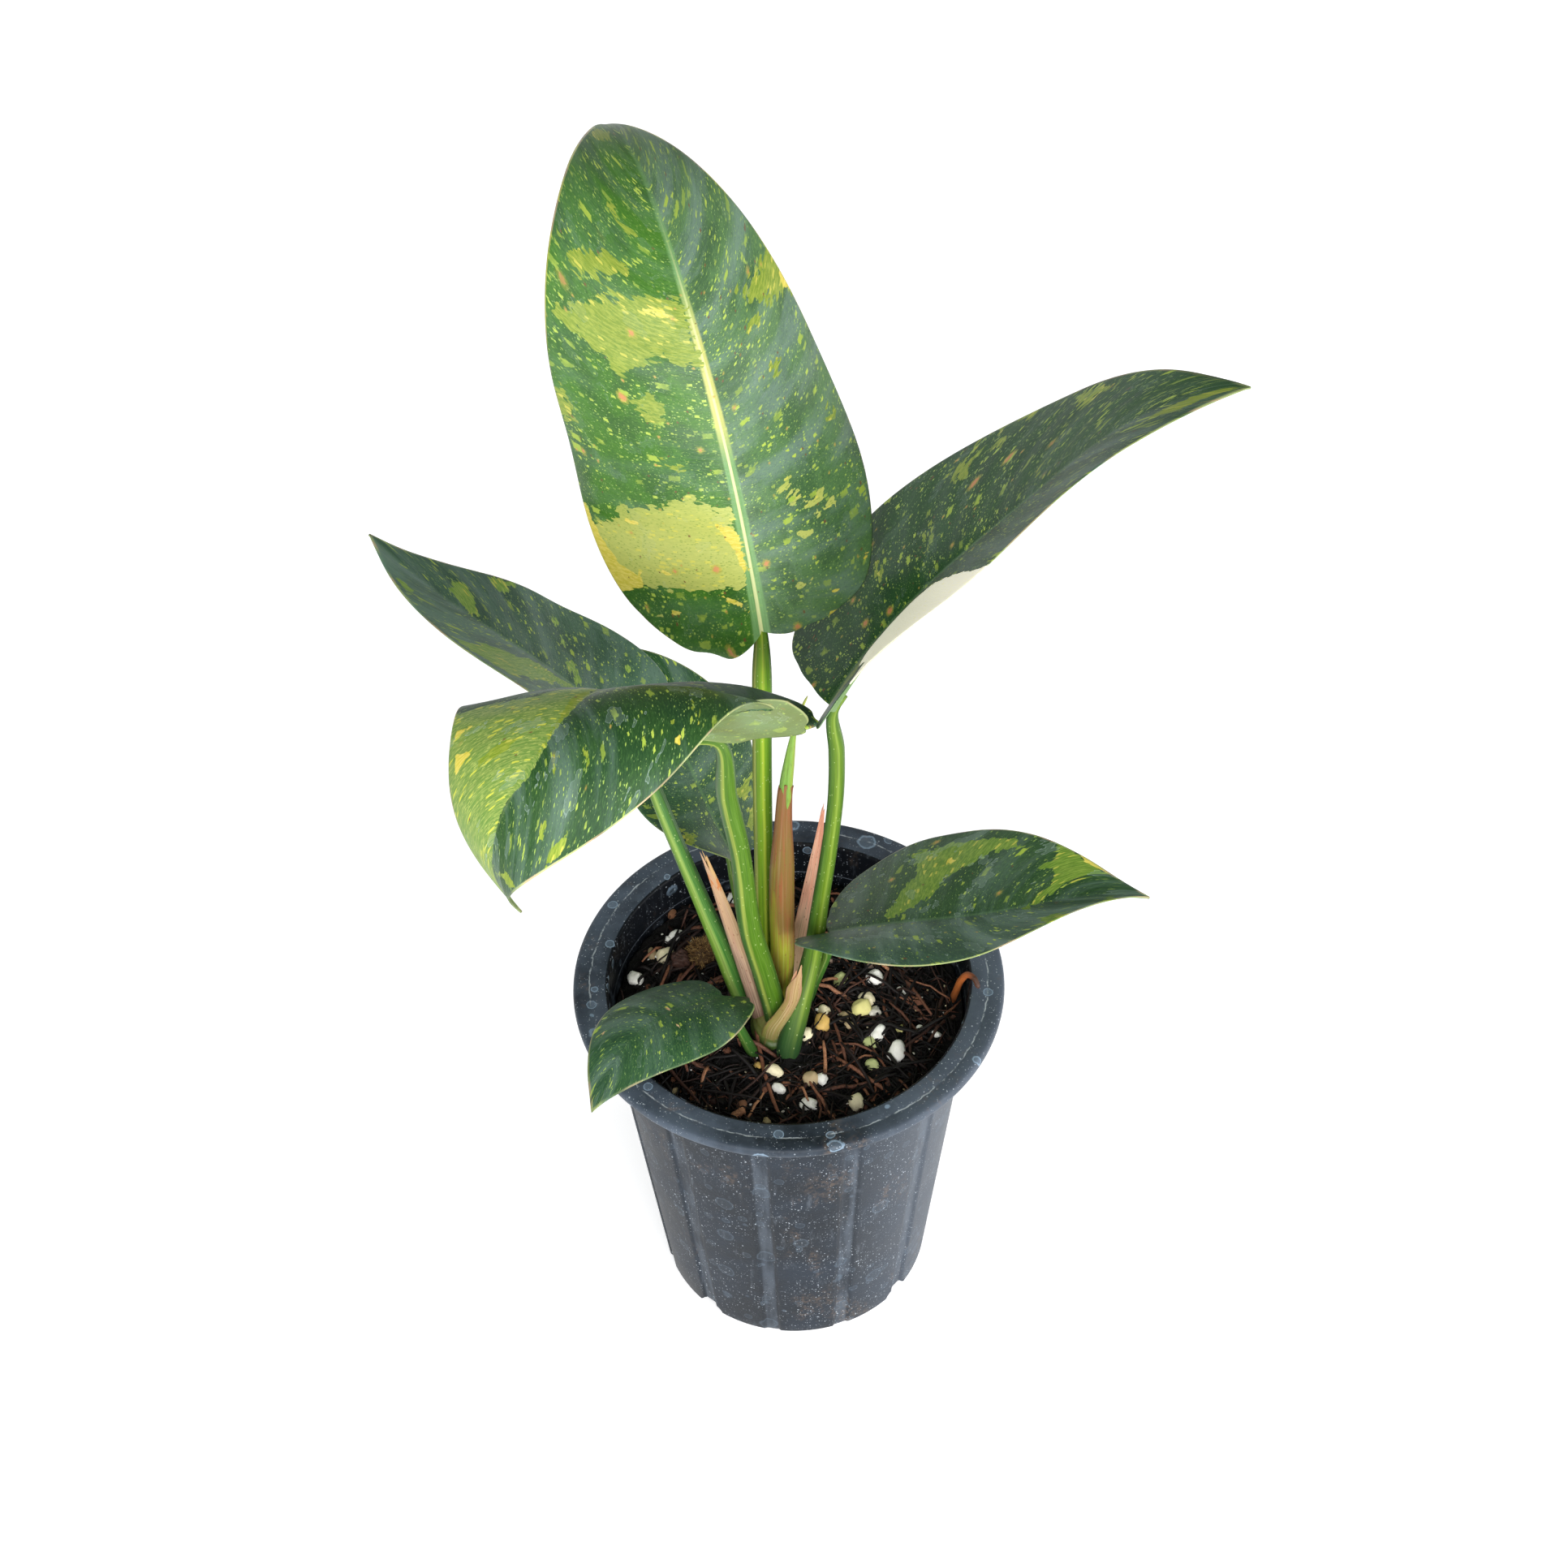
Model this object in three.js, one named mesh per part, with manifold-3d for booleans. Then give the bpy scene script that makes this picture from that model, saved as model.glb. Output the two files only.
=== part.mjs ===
// A variegated philodendron growing in a twelve-fluted nursery pot. Millimetres, +Z up.
// The origin is the centre of the pot's flat underside. -Y is the side that faces the viewer.
import * as THREE from 'three';
import { mergeVertices } from 'three/addons/utils/BufferGeometryUtils.js';
import Module from 'manifold-3d';

const wasm = await Module();
wasm.setup();

// Clearance between pieces that touch on the real plant
const GAP = 0.35;

// Nursery pot
const POT = {
  height: 147,
  rimRadius: 75,
  mouthRadius: 62.7,
  rimDepth: 4.2,
  bandRadius: 64.6,
  bandFoot: 133,
  bodyTopRadius: 63.4,
  baseRadius: 48.7,
  footRound: 2.2,
  wall: 1.8,
  floor: 2.6,
};
const FLUTE = { count: 12, first: -101, halfAngle: 2.3, edgeAngle: 0.7, depth: 1.1, top: 131.5 };
const NOTCH = { angles: [-131, -41, 49, 139], width: 10.5, height: 5.6, reach: 9 };

// Potting mix
const SOIL = { level: 131, mound: 2.2, moundRadius: 24, relief: 0.9, edgeDrop: 1.6, rings: 8, sides: 34 };

// Blade outline of one half: share of the length, share of the half width.
// The first two lengths are shares of the lobe behind the stalk.
const OUTLINE = [
  [-1.0, 0.28], [-0.72, 0.52], [0.02, 0.80], [0.14, 0.96], [0.28, 1.0],
  [0.46, 0.89], [0.64, 0.66], [0.80, 0.38], [0.92, 0.14], [1.0, 0.0],
];
const BLADE = { skin: 0.9, edge: 0.7, ribBase: 1.9, ribTip: 0.3, fan: 1.5, tip: 0.985, spineSteps: 80 };
const COLUMNS = [0.09, 0.36, 0.68, 1];

// Leaves, named from the tallest down. Angles in degrees: pitch above level and heading from +X
// follow the midrib from base to tip, roll turns the blade about it, and each half folds up from
// the midrib by fold and curls on towards its margin by curl.
const LEAVES = {
  a: {
    base: [-5.6, 9, 306.6], length: 204, rows: 20,
    pitch: [75, 58, 16, -41], heading: [114, 113, 107, 107], roll: [-14, -5, 6, 4],
    left: { width: 59, lobe: 11, fold: [-25, -17, 11], curl: [-27, -49, -13] },
    right: { width: 51, lobe: 4, fold: [-12, -11, 1], curl: [-20, -33, -20] },
  },
  b: {
    base: [15.4, -4.5, 286.2], length: 179, rows: 20,
    pitch: [48, 44, 49, 22], heading: [37, 12, -8, -25], roll: [-25, -14, -7, 5],
    left: { width: 53, lobe: 1, fold: [1, 5, 3], curl: [0, 0, 0] },
    right: { width: 48, lobe: 3, fold: [33, 17, 0], curl: [0, 0, 0] },
  },
  c: {
    base: [-46.4, 19, 242.2], length: 118, rows: 16,
    pitch: [57, 42, 27, 22], heading: [162, 168, 155, 136], roll: [3, 14, 14, 16],
    left: { width: 41, lobe: 6, fold: [7, 16, 14], curl: [0, 0, 0] },
    right: { width: 44, lobe: 7, fold: [2, -5, -6], curl: [0, 0, 0] },
  },
  d: {
    base: [-20.7, -31, 301.3], length: 154, rows: 22,
    pitch: [16, 61, -3, -66, -125], heading: [185, 225, 237, 211, 163], roll: [0, 1, -21, -29],
    left: { width: 45, lobe: 28, fold: [63, 41, 16, -3], curl: [36, -31, -54, -35] },
    right: { width: 49, lobe: 38, fold: [-5, -14, -12, 16], curl: [-22, -38, -37, -14] },
  },
  e: {
    base: [-19.5, 30.5, 180], length: 98, rows: 15,
    pitch: [42, 50, 30, 8], heading: [126, 126, 147, 156], roll: [36, 13, 0, 1],
    left: { width: 34, lobe: 5, fold: [33, 9, -4], curl: [0, 0, 0] },
    right: { width: 32, lobe: 5, fold: [0, -6, -6], curl: [0, 0, 0] },
  },
  f: {
    base: [14.6, -5.1, 176.6], length: 110, rows: 16,
    pitch: [16, 9, 20, -12], heading: [-3, -3, -5, 0], roll: [-25, -8, 1, -16],
    left: { width: 44, lobe: 3, fold: [-3, 5, 15], curl: [16, -9, -1] },
    right: { width: 33, lobe: 11, fold: [22, 22, 33], curl: [-28, -13, 0] },
  },
  g: {
    base: [-22.7, -17.9, 159.6], length: 66, rows: 14,
    pitch: [18, 5, -17, -33], heading: [205, 215, 234, 244], roll: [13, 7, -3, 1],
    left: { width: 23, lobe: 8, fold: [10, 1, 0], curl: [-17, -15, -12] },
    right: { width: 21, lobe: 1, fold: [-4, -3, 0], curl: [-19, -19, -9] },
  },
};

// Leaf stalks from the crown up to just under the blade, with their radii from foot to head
const STALKS = {
  d: { path: [[-4.5, -12, 126], [-4.8, -11.5, 141], [-8.2, -12, 164], [-12.5, -14, 192], [-14.6, -17.5, 232], [-17.9, -22, 264]],
    radii: [4.0, 4.1, 4.0, 3.8, 3.4, 3.4, 3.0, 1.6] },
  b: { path: [[-1, -22, 125], [-0.5, -20, 134], [3.6, -13, 149], [8.2, -4.5, 164], [11, -1.5, 186], [14.2, -1.5, 213], [16.8, -2.5, 242], [17.2, -3.5, 265]],
    radii: [4.3, 4.2, 3.6, 3.3, 3.0, 2.9, 2.8, 2.8, 2.6, 1.3] },
  g: { path: [[-11, -20, 125], [-14, -21.5, 136], [-18.2, -20.5, 148]], radii: [2.1, 2.1, 1.9, 1.7, 1.0] },
  c: { path: [[-11, -3, 126], [-16.4, -2, 141], [-23, 0, 166], [-29.4, 4, 187], [-37.2, 8.4, 213]],
    radii: [3.8, 3.7, 3.4, 3.0, 2.7, 2.5, 1.3] },
  a: { path: [[-7, 0, 126], [-7.5, 2.6, 147], [-7.4, 5.5, 190], [-7, 9.5, 230], [-6.4, 12.5, 262], [-5.9, 13, 284]],
    radii: [3.6, 3.5, 3.3, 3.2, 3.2, 3.2, 3.1, 1.6] },
  f: { path: [[5, 2, 126], [8.5, 2.5, 140], [13, 2, 156]], radii: [2.1, 2.1, 2.0, 1.9, 1.0] },
  e: { path: [[-8, 9, 126], [-12, 12, 143], [-16, 18, 160], [-18.4, 25, 172]], radii: [1.9, 1.8, 1.6, 1.5, 1.4, 0.8] },
};
const STALK_SIDES = 8;

// Sheaths that wrapped earlier leaves, and the rolled new leaf. half is half the width, open the
// direction that the hollow side faces, in degrees from +X.
const SHEATHS = {
  tall: { path: [[-3.2, -4, 128], [-3, -3.4, 140], [-1.9, -2.6, 160], [-1.6, -1.4, 190], [-0.8, -0.8, 216], [0.6, 0, 243], [1.4, 0, 247]],
    half: [3.0, 3.8, 4.2, 4.3, 4.1, 3.0, 2.4], deep: [3.0, 3.4, 3.6, 3.6, 3.3, 2.5, 2.0], round: true },
  left: { path: [[-9, -8, 128], [-10.3, -8, 140], [-14.8, -7.6, 164], [-21.8, -6.6, 197], [-27.6, -5.4, 221]],
    half: [4.2, 4.0, 3.6, 2.4, 0.5], deep: [1.7, 1.7, 1.5, 1.2, 0.6], open: 60 },
  right: { path: [[2, 7, 128], [3.4, 8, 148], [7.5, 8.4, 180], [11.1, 8.4, 207], [13.1, 8, 227]],
    half: [3.8, 3.6, 2.8, 1.7, 0.4], deep: [1.8, 1.7, 1.5, 1.1, 0.5], open: -120 },
  front: { path: [[-6, -14.5, 130], [-5.2, -16.8, 141.3], [-2.3, -17.4, 148.3], [0.9, -17.6, 156.5], [2, -17.3, 163.8], [3.9, -16.8, 176]],
    half: [4.4, 4.2, 3.2, 2.6, 2.5, 1.6], deep: [1.7, 1.6, 1.4, 1.2, 1.1, 0.9], open: 100 },
};
const SPEAR = { path: [[0, -0.4, 218], [0.8, 0, 244], [1.9, 0.4, 254], [4.3, 1, 271], [7, 1.6, 280.5], [8.4, 2, 284]],
  radii: [1.6, 2.0, 2.2, 1.6, 0.7, 0.35] };

// Crown of the plant at the soil
const CROWN = { centre: [-4.5, -9], foot: 123, profile: [[9, 0], [11.5, 6], [10.5, 12], [7.5, 16], [3, 18]], stretch: 0.85 };

// Orange root hooked over the rim, resting on its flat top
const ROOT = { path: [[57, 3, 127], [58.4, 0.8, 136], [60, -1, 144.5], [62, -2.8, 149.4], [64.2, -5, 150], [65.6, -8, 148.3]],
  radii: [1.3, 1.3, 1.25, 1.2, 1.1, 0.8] };

// Perlite where it shows on the mix: x, y, radius
const PERLITE = [
  [-19.4, 49.9, 2.2], [-39.8, 34.1, 2.2], [-42.7, 32.3, 1.4], [-48.5, 27.2, 1.9], [-43.9, 25.5, 2.9],
  [-39.5, 20.4, 1.5], [-54.4, 14.6, 2.6], [18.1, 10.6, 2.5], [30.5, 10.9, 2.6], [14.4, 20.1, 1.6],
  [39.7, 5.0, 1.9], [27.0, 1.8, 2.5], [24.8, -2.9, 2.9], [12.6, -3.6, 2.4], [29.9, -3.8, 2.1],
  [19.0, -5.6, 2.2], [11.2, -10.4, 2.7], [20.6, -10.0, 1.6], [4.9, -14.9, 2.5], [30.4, -13.6, 2.9],
  [27.7, -17.5, 2.2], [36.8, -22.4, 3.3], [27.9, -26.4, 2.4], [50.9, -14.3, 1.4], [45.1, -11.6, 1.5],
  [38.1, -10.6, 1.8], [-5.8, -30.6, 2.6], [-4.0, -37.0, 2.1], [7.0, -34.2, 2.2], [10.6, -34.0, 2.3],
  [6.2, -43.6, 2.5], [22.3, -43.5, 2.8], [-28.5, -42.1, 1.3], [-40.2, -35.4, 1.3], [-8.6, -49.4, 1.5],
];

// Twigs on the mix: points x, y and height above it, then thickness
const TWIGS = [
  { path: [[-11.7, -11.8, 2.8], [-11.0, -20.5, 2], [-8.2, -37.9, 1.2], [-4.2, -50.9, 0.4]], thick: 1.3 },
  { path: [[-9.8, -33.6, 1.6], [-19.2, -29.5, 1.2], [-25.9, -25.7, 0.2]], thick: 0.8 },
  { path: [[-2, -41, 0.6], [11, -26, 1.6], [28, -18.5, 0.6]], thick: 1.0 },
  { path: [[6, -38.5, 0.8], [34, -33, 1.2]], thick: 1.3 },
  { path: [[9, -39, 1.8], [9.6, -45, 1.6], [7.6, -51.5, 0.4]], thick: 1.1 },
  { path: [[9.6, -46, 1.5], [14, -49.5, 0.3]], thick: 0.8 },
  { path: [[33, 6, 0.6], [34.4, -12, 1.6]], thick: 1.2 },
  { path: [[24, -8, 1.6], [21, -24, 1], [18, -32, 0.2]], thick: 1.0 },
  { path: [[10, -19.5, 0.8], [20, -21, 0.6]], thick: 1.1 },
  { path: [[28, -42, 0.4], [30, -32, 1.2]], thick: 1.0 },
  { path: [[41, 1, 0.6], [46, -5, 1.2]], thick: 1.2 },
  { path: [[-36, 0, 0.4], [-50, 6, 1]], thick: 0.9 },
  { path: [[-30, 28, 1], [-38, 38, 0.4]], thick: 1.2 },
];
const CHIPS = { count: 30, seed: 11, length: [4, 9], width: [1.4, 2.8], thick: [0.9, 1.6], reach: 55, clear: 17 };
const MOSS = { at: [-30.6, 22.4], radius: 6, height: 4 };

const rad = THREE.MathUtils.degToRad;
const vec = (p) => new THREE.Vector3(p[0], p[1], p[2]);

// Repeatable random numbers between 0 and 1
function randomSource(seed) {
  let state = seed;
  return () => {
    state = (state * 1664525 + 1013904223) % 4294967296;
    return state / 4294967296;
  };
}

// Value at u, 0 to 1, of a smooth curve through evenly spaced numbers
function smooth(values, u) {
  const last = values.length - 1;
  const x = Math.min(Math.max(u, 0), 1) * last;
  const i = Math.min(Math.floor(x), last - 1);
  const f = x - i;
  const at = (k) => {
    if (k < 0) return 2 * values[0] - values[1];
    if (k > last) return 2 * values[last] - values[last - 1];
    return values[k];
  };
  const [p, q, r, s] = [at(i - 1), at(i), at(i + 1), at(i + 2)];
  return 0.5 * (2 * q + (r - p) * f + (2 * p - 5 * q + 4 * r - s) * f * f + (3 * q - p - 3 * r + s) * f ** 3);
}

// Geometry from shared points and triangles
function geometryOf(points, triangles) {
  const geometry = new THREE.BufferGeometry();
  geometry.setAttribute('position', new THREE.Float32BufferAttribute(points.flatMap((p) => [p.x, p.y, p.z]), 3));
  geometry.setIndex(triangles.flat());
  return geometry;
}

function solidOf(geometry) {
  const bare = geometry.clone();
  bare.deleteAttribute('normal');
  bare.deleteAttribute('uv');
  const merged = mergeVertices(bare, 1e-5);
  return new wasm.Manifold(new wasm.Mesh({
    numProp: 3,
    vertProperties: new Float32Array(merged.attributes.position.array),
    triVerts: new Uint32Array(merged.index.array),
  }));
}

// Largest single body of a cut solid
function mainBody(solid) {
  const bodies = solid.decompose();
  return bodies.reduce((best, body) => (body.volume() > best.volume() ? body : best));
}

function geometryFrom(solid) {
  const mesh = solid.getMesh();
  const geometry = new THREE.BufferGeometry();
  geometry.setAttribute('position', new THREE.Float32BufferAttribute(mesh.vertProperties, 3));
  geometry.setIndex(Array.from(mesh.triVerts));
  return geometry;
}

// Piece with its neighbours cut away
function carve(solid, neighbours) {
  return neighbours.reduce((left, other) => left.subtract(other), solid);
}

// Closed solid through rings of equal count, listed from first to last, with flat fan ends
function loft(rings) {
  const n = rings[0].length;
  const points = rings.flat();
  const triangles = [];
  for (let i = 0; i + 1 < rings.length; i += 1) {
    for (let k = 0; k < n; k += 1) {
      const a = i * n + k;
      const b = i * n + ((k + 1) % n);
      triangles.push([a, b, b + n], [a, b + n, a + n]);
    }
  }
  const middle = (ring) => ring.reduce((sum, p) => sum.add(p), new THREE.Vector3()).divideScalar(n);
  const top = (rings.length - 1) * n;
  points.push(middle(rings[0]), middle(rings[rings.length - 1]));
  for (let k = 0; k < n; k += 1) {
    triangles.push([(k + 1) % n, k, points.length - 2]);
    triangles.push([top + k, top + ((k + 1) % n), points.length - 1]);
  }
  return geometryOf(points, triangles);
}

// Positions and cross directions along a curve, turned as little as possible
function pathFrames(path, steps) {
  const curve = new THREE.CatmullRomCurve3(path.map(vec), false, 'centripetal');
  const frames = [];
  let side = new THREE.Vector3(1, 0, 0);
  for (let i = 0; i <= steps; i += 1) {
    const along = curve.getTangentAt(i / steps);
    side = side.clone().addScaledVector(along, -side.dot(along)).normalize();
    frames.push({ at: curve.getPointAt(i / steps), along, side, up: along.clone().cross(side) });
  }
  return frames;
}

// Outline moved outwards by extra, square to its edges. It runs anticlockwise.
function grown(outline, extra) {
  const n = outline.length;
  return outline.map((p, k) => {
    const before = outline[(k + n - 1) % n].clone().sub(p).normalize();
    const after = outline[(k + 1) % n].clone().sub(p).normalize();
    const out = new THREE.Vector2(after.y - before.y, before.x - after.x).normalize();
    return p.clone().addScaledVector(out, extra * 1.15);
  });
}

// Tapered round stem along a path
function stem(path, radii, steps, sides, extra = 0) {
  const frames = pathFrames(path, steps);
  const rings = frames.map((frame, i) => {
    const radius = smooth(radii, i / steps) + extra;
    return Array.from({ length: sides }, (_, k) => {
      const turn = (2 * Math.PI * k) / sides;
      return frame.at.clone()
        .addScaledVector(frame.side, radius * Math.cos(turn))
        .addScaledVector(frame.up, radius * Math.sin(turn));
    });
  });
  return loft(rings);
}

// Midrib of a leaf: place and directions at even steps from base to tip
function midrib(leaf) {
  const steps = BLADE.spineSteps;
  const frames = [];
  for (let i = 0; i <= steps; i += 1) {
    const u = i / steps;
    const pitch = rad(smooth(leaf.pitch, u));
    const heading = rad(smooth(leaf.heading, u));
    const roll = rad(smooth(leaf.roll, u));
    const along = new THREE.Vector3(
      Math.cos(pitch) * Math.cos(heading), Math.cos(pitch) * Math.sin(heading), Math.sin(pitch));
    const level = new THREE.Vector3(Math.sin(heading), -Math.cos(heading), 0);
    const above = level.clone().cross(along);
    const side = level.clone().multiplyScalar(Math.cos(roll)).addScaledVector(above, -Math.sin(roll));
    const up = above.multiplyScalar(Math.cos(roll)).addScaledVector(level, Math.sin(roll));
    const at = vec(leaf.base);
    if (i > 0) {
      const before = frames[i - 1];
      at.copy(before.at).addScaledVector(along.clone().add(before.along), leaf.length / steps / 2);
    }
    frames.push({ at, along, side, up });
  }
  return frames;
}

// Frame at share u of the midrib, carried straight on past its ends
function frameAt(frames, u, length) {
  const last = frames.length - 1;
  const x = Math.min(Math.max(u, 0), 1) * last;
  const i = Math.min(Math.floor(x), last - 1);
  const mix = (key) => frames[i][key].clone().lerp(frames[i + 1][key], x - i);
  const along = mix('along');
  const past = (Math.min(u, 0) + Math.max(u - 1, 0)) * length;
  return { at: mix('at').addScaledVector(along, past), along, side: mix('side'), up: mix('up') };
}

// Point of the blade's middle surface. t runs along the margin from lobe to tip, s from the
// midrib out, and sign is -1 on the left half.
function bladePoint(leaf, frames, sign, t, s) {
  const half = sign < 0 ? leaf.left : leaf.right;
  const lobe = half.lobe / leaf.length;
  const edgeAlong = smooth(OUTLINE.map(([a], i) => (i < 2 ? a * lobe : a)), t);
  const edgeAcross = smooth(OUTLINE.map(([, b]) => b), t);
  const start = t ** BLADE.fan;
  const bend = 0.6 + 0.8 * Math.min(t / 0.3, 1);
  const u = start + (edgeAlong - start) * s ** bend;
  const reach = half.width * edgeAcross * s;
  const share = (u + 0.1) / 1.1;
  const fold = rad(smooth(half.fold, share));
  const curl = rad(smooth(half.curl, share)) / half.width;
  const turn = curl * reach;
  const bent = Math.abs(turn) > 1e-4;
  const lateral = bent ? (Math.sin(fold + turn) - Math.sin(fold)) / curl : reach * Math.cos(fold);
  const lift = bent ? (Math.cos(fold) - Math.cos(fold + turn)) / curl : reach * Math.sin(fold);
  const frame = frameAt(frames, u, leaf.length);
  return frame.at.addScaledVector(frame.side, sign * lateral).addScaledVector(frame.up, lift);
}

// Rows of middle-surface points, left margin to right margin
function bladeGrid(leaf) {
  const frames = midrib(leaf);
  const sweep = [...COLUMNS].reverse().map((s) => [-1, s]).concat([[1, 0]], COLUMNS.map((s) => [1, s]));
  return Array.from({ length: leaf.rows + 1 }, (_, i) => {
    const t = (BLADE.tip * i) / leaf.rows;
    return sweep.map(([sign, s]) => bladePoint(leaf, frames, sign, t, s));
  });
}

// Blade as a thin solid with a rib under its middle, split alike on both faces
function blade(leaf, extra = 0) {
  const grid = bladeGrid(leaf);
  const rows = grid.length;
  const columns = grid[0].length;
  const centre = (columns - 1) / 2;
  const normals = grid.map((row) => row.map(() => new THREE.Vector3()));
  const faces = [];
  for (let i = 0; i + 1 < rows; i += 1) {
    for (let k = 0; k + 1 < columns; k += 1) {
      const corners = [[i, k], [i, k + 1], [i + 1, k + 1], [i + 1, k]];
      const halves = k < centre ? [[0, 1, 2], [0, 2, 3]] : [[0, 1, 3], [1, 2, 3]];
      for (const picks of halves) {
        const face = picks.map((c) => corners[c]);
        const [p, q, r] = face.map(([a, b]) => grid[a][b]);
        const normal = q.clone().sub(p).cross(r.clone().sub(p));
        face.forEach(([a, b]) => normals[a][b].add(normal));
        faces.push(face.map(([a, b]) => a * columns + b));
      }
    }
  }
  const top = [];
  const under = [];
  grid.forEach((row, i) => row.forEach((p, k) => {
    const normal = normals[i][k].normalize();
    const atEdge = k === 0 || k === columns - 1;
    const half = (atEdge ? BLADE.edge : BLADE.skin) / 2 + extra;
    const rib = k === centre ? THREE.MathUtils.lerp(BLADE.ribBase, BLADE.ribTip, i / (rows - 1)) : 0;
    top.push(p.clone().addScaledVector(normal, half));
    under.push(p.clone().addScaledVector(normal, -half - rib));
  }));
  const size = top.length;
  const triangles = faces.concat(faces.map(([a, b, c]) => [c + size, b + size, a + size]));
  const rim = [];
  for (let k = columns - 1; k > 0; k -= 1) rim.push([k, k - 1]);
  for (let i = 0; i + 1 < rows; i += 1) rim.push([i * columns, (i + 1) * columns]);
  for (let k = 0; k + 1 < columns; k += 1) rim.push([(rows - 1) * columns + k, (rows - 1) * columns + k + 1]);
  for (let i = rows - 1; i > 0; i -= 1) rim.push([i * columns + columns - 1, (i - 1) * columns + columns - 1]);
  for (const [a, b] of rim) triangles.push([a, b, b + size], [a, b + size, a + size]);
  return geometryOf(top.concat(under), triangles);
}

// Stalk path that slides in under the foot of its blade
function stalkPath(name) {
  const leaf = LEAVES[name];
  const foot = midrib(leaf)[0];
  const { path, radii } = STALKS[name];
  const head = radii[radii.length - 2];
  const join = foot.at.clone().addScaledVector(foot.up, -head * 0.75).addScaledVector(foot.along, -head * 0.4);
  const end = foot.at.clone().addScaledVector(foot.up, -head * 0.9).addScaledVector(foot.along, head * 2);
  return [...path, join.toArray(), end.toArray()];
}

// Blade a little larger all round, to cut its neighbours clear
function bladeRoom(leaf) {
  const { at, along } = midrib(leaf)[0];
  const wider = (half) => ({ ...half, width: half.width + 2 * GAP, lobe: half.lobe + GAP });
  const base = at.addScaledVector(along, -1.5 * GAP).toArray();
  return solidOf(blade({ ...leaf, base, left: wider(leaf.left), right: wider(leaf.right) }, 1.3 * GAP));
}

function stalk(name, extra = 0) {
  const path = stalkPath(name);
  return stem(path, STALKS[name].radii, path.length + 5, STALK_SIDES, extra);
}

// Section of a sheath in the plane across it: a round pod, or a gutter hollow towards +Y
function sheathSection(wide, thick, round) {
  if (round) {
    return Array.from({ length: 10 }, (_, k) => {
      const turn = (2 * Math.PI * k) / 10;
      return new THREE.Vector2(wide * Math.cos(turn), thick * Math.sin(turn));
    });
  }
  const bow = (w) => -(1 - w * w) * wide * 0.5;
  const outer = [-1, -0.6, 0, 0.6, 1].map((w) => [w * wide, bow(w) - thick * (0.5 - 0.35 * w * w)]);
  const inner = [0.9, 0, -0.9].map((w) => [w * wide, bow(w) + thick * (0.5 - 0.35 * w * w)]);
  return outer.concat(inner).map(([x, y]) => new THREE.Vector2(x, y));
}

// Sheath along its path, with the hollow side facing the direction open
function sheath({ path, half, deep, round, open = 90 }, extra = 0) {
  const steps = 9;
  const facing = new THREE.Vector3(Math.cos(rad(open)), Math.sin(rad(open)), 0);
  const rings = pathFrames(path, steps).map(({ at, along }, i) => {
    const up = facing.clone().addScaledVector(along, -facing.dot(along)).normalize();
    const across = up.clone().cross(along);
    const section = sheathSection(smooth(half, i / steps), smooth(deep, i / steps), round);
    return grown(section, extra).map(({ x, y }) => at.clone().addScaledVector(across, x).addScaledVector(up, y));
  });
  return loft(rings);
}

// Pot outline from the centre of the underside, out and up the outside, over the rim and down
// the inside. fluted points dip into the flutes.
function potProfile() {
  const slope = (POT.bodyTopRadius - POT.baseRadius) / POT.bandFoot;
  const outer = (z) => POT.baseRadius + slope * z;
  const rimFoot = POT.height - POT.rimDepth;
  return [
    { r: 26, z: 0 },
    { r: POT.baseRadius - POT.footRound, z: 0, fluted: true },
    { r: outer(0) - POT.footRound * 0.3, z: POT.footRound * 0.4, fluted: true },
    { r: outer(POT.footRound), z: POT.footRound, fluted: true },
    { r: outer(FLUTE.top), z: FLUTE.top, fluted: true },
    { r: outer(POT.bandFoot), z: POT.bandFoot },
    { r: POT.bandRadius, z: POT.bandFoot + 0.3 },
    { r: POT.bandRadius + 0.6, z: rimFoot - 1.2 },
    { r: POT.rimRadius - 3.4, z: rimFoot },
    { r: POT.rimRadius - 0.9, z: rimFoot + 0.3 },
    { r: POT.rimRadius, z: rimFoot + 1.4 },
    { r: POT.rimRadius - 0.2, z: POT.height - 1.2 },
    { r: POT.rimRadius - 1.2, z: POT.height },
    { r: POT.mouthRadius + 0.6, z: POT.height },
    { r: POT.mouthRadius, z: POT.height - 0.8 },
    { r: POT.mouthRadius - 0.9, z: POT.bandFoot },
    { r: outer(POT.floor) - POT.wall, z: POT.floor },
    { r: 24, z: POT.floor },
  ];
}

// Angles round the pot and how far each one dips into a flute
function potColumns() {
  const pitch = 360 / FLUTE.count;
  const columns = [];
  for (let k = 0; k < FLUTE.count; k += 1) {
    const middle = FLUTE.first + k * pitch;
    const edge = FLUTE.halfAngle;
    const lip = edge + FLUTE.edgeAngle;
    const stops = [[-lip, 0], [-edge, 1], [edge, 1], [lip, 0], [pitch / 2 - 3.5, 0], [pitch / 2 + 3.5, 0]];
    stops.forEach(([offset, dip]) => columns.push({ angle: rad(middle + offset), dip }));
  }
  return columns;
}

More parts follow.
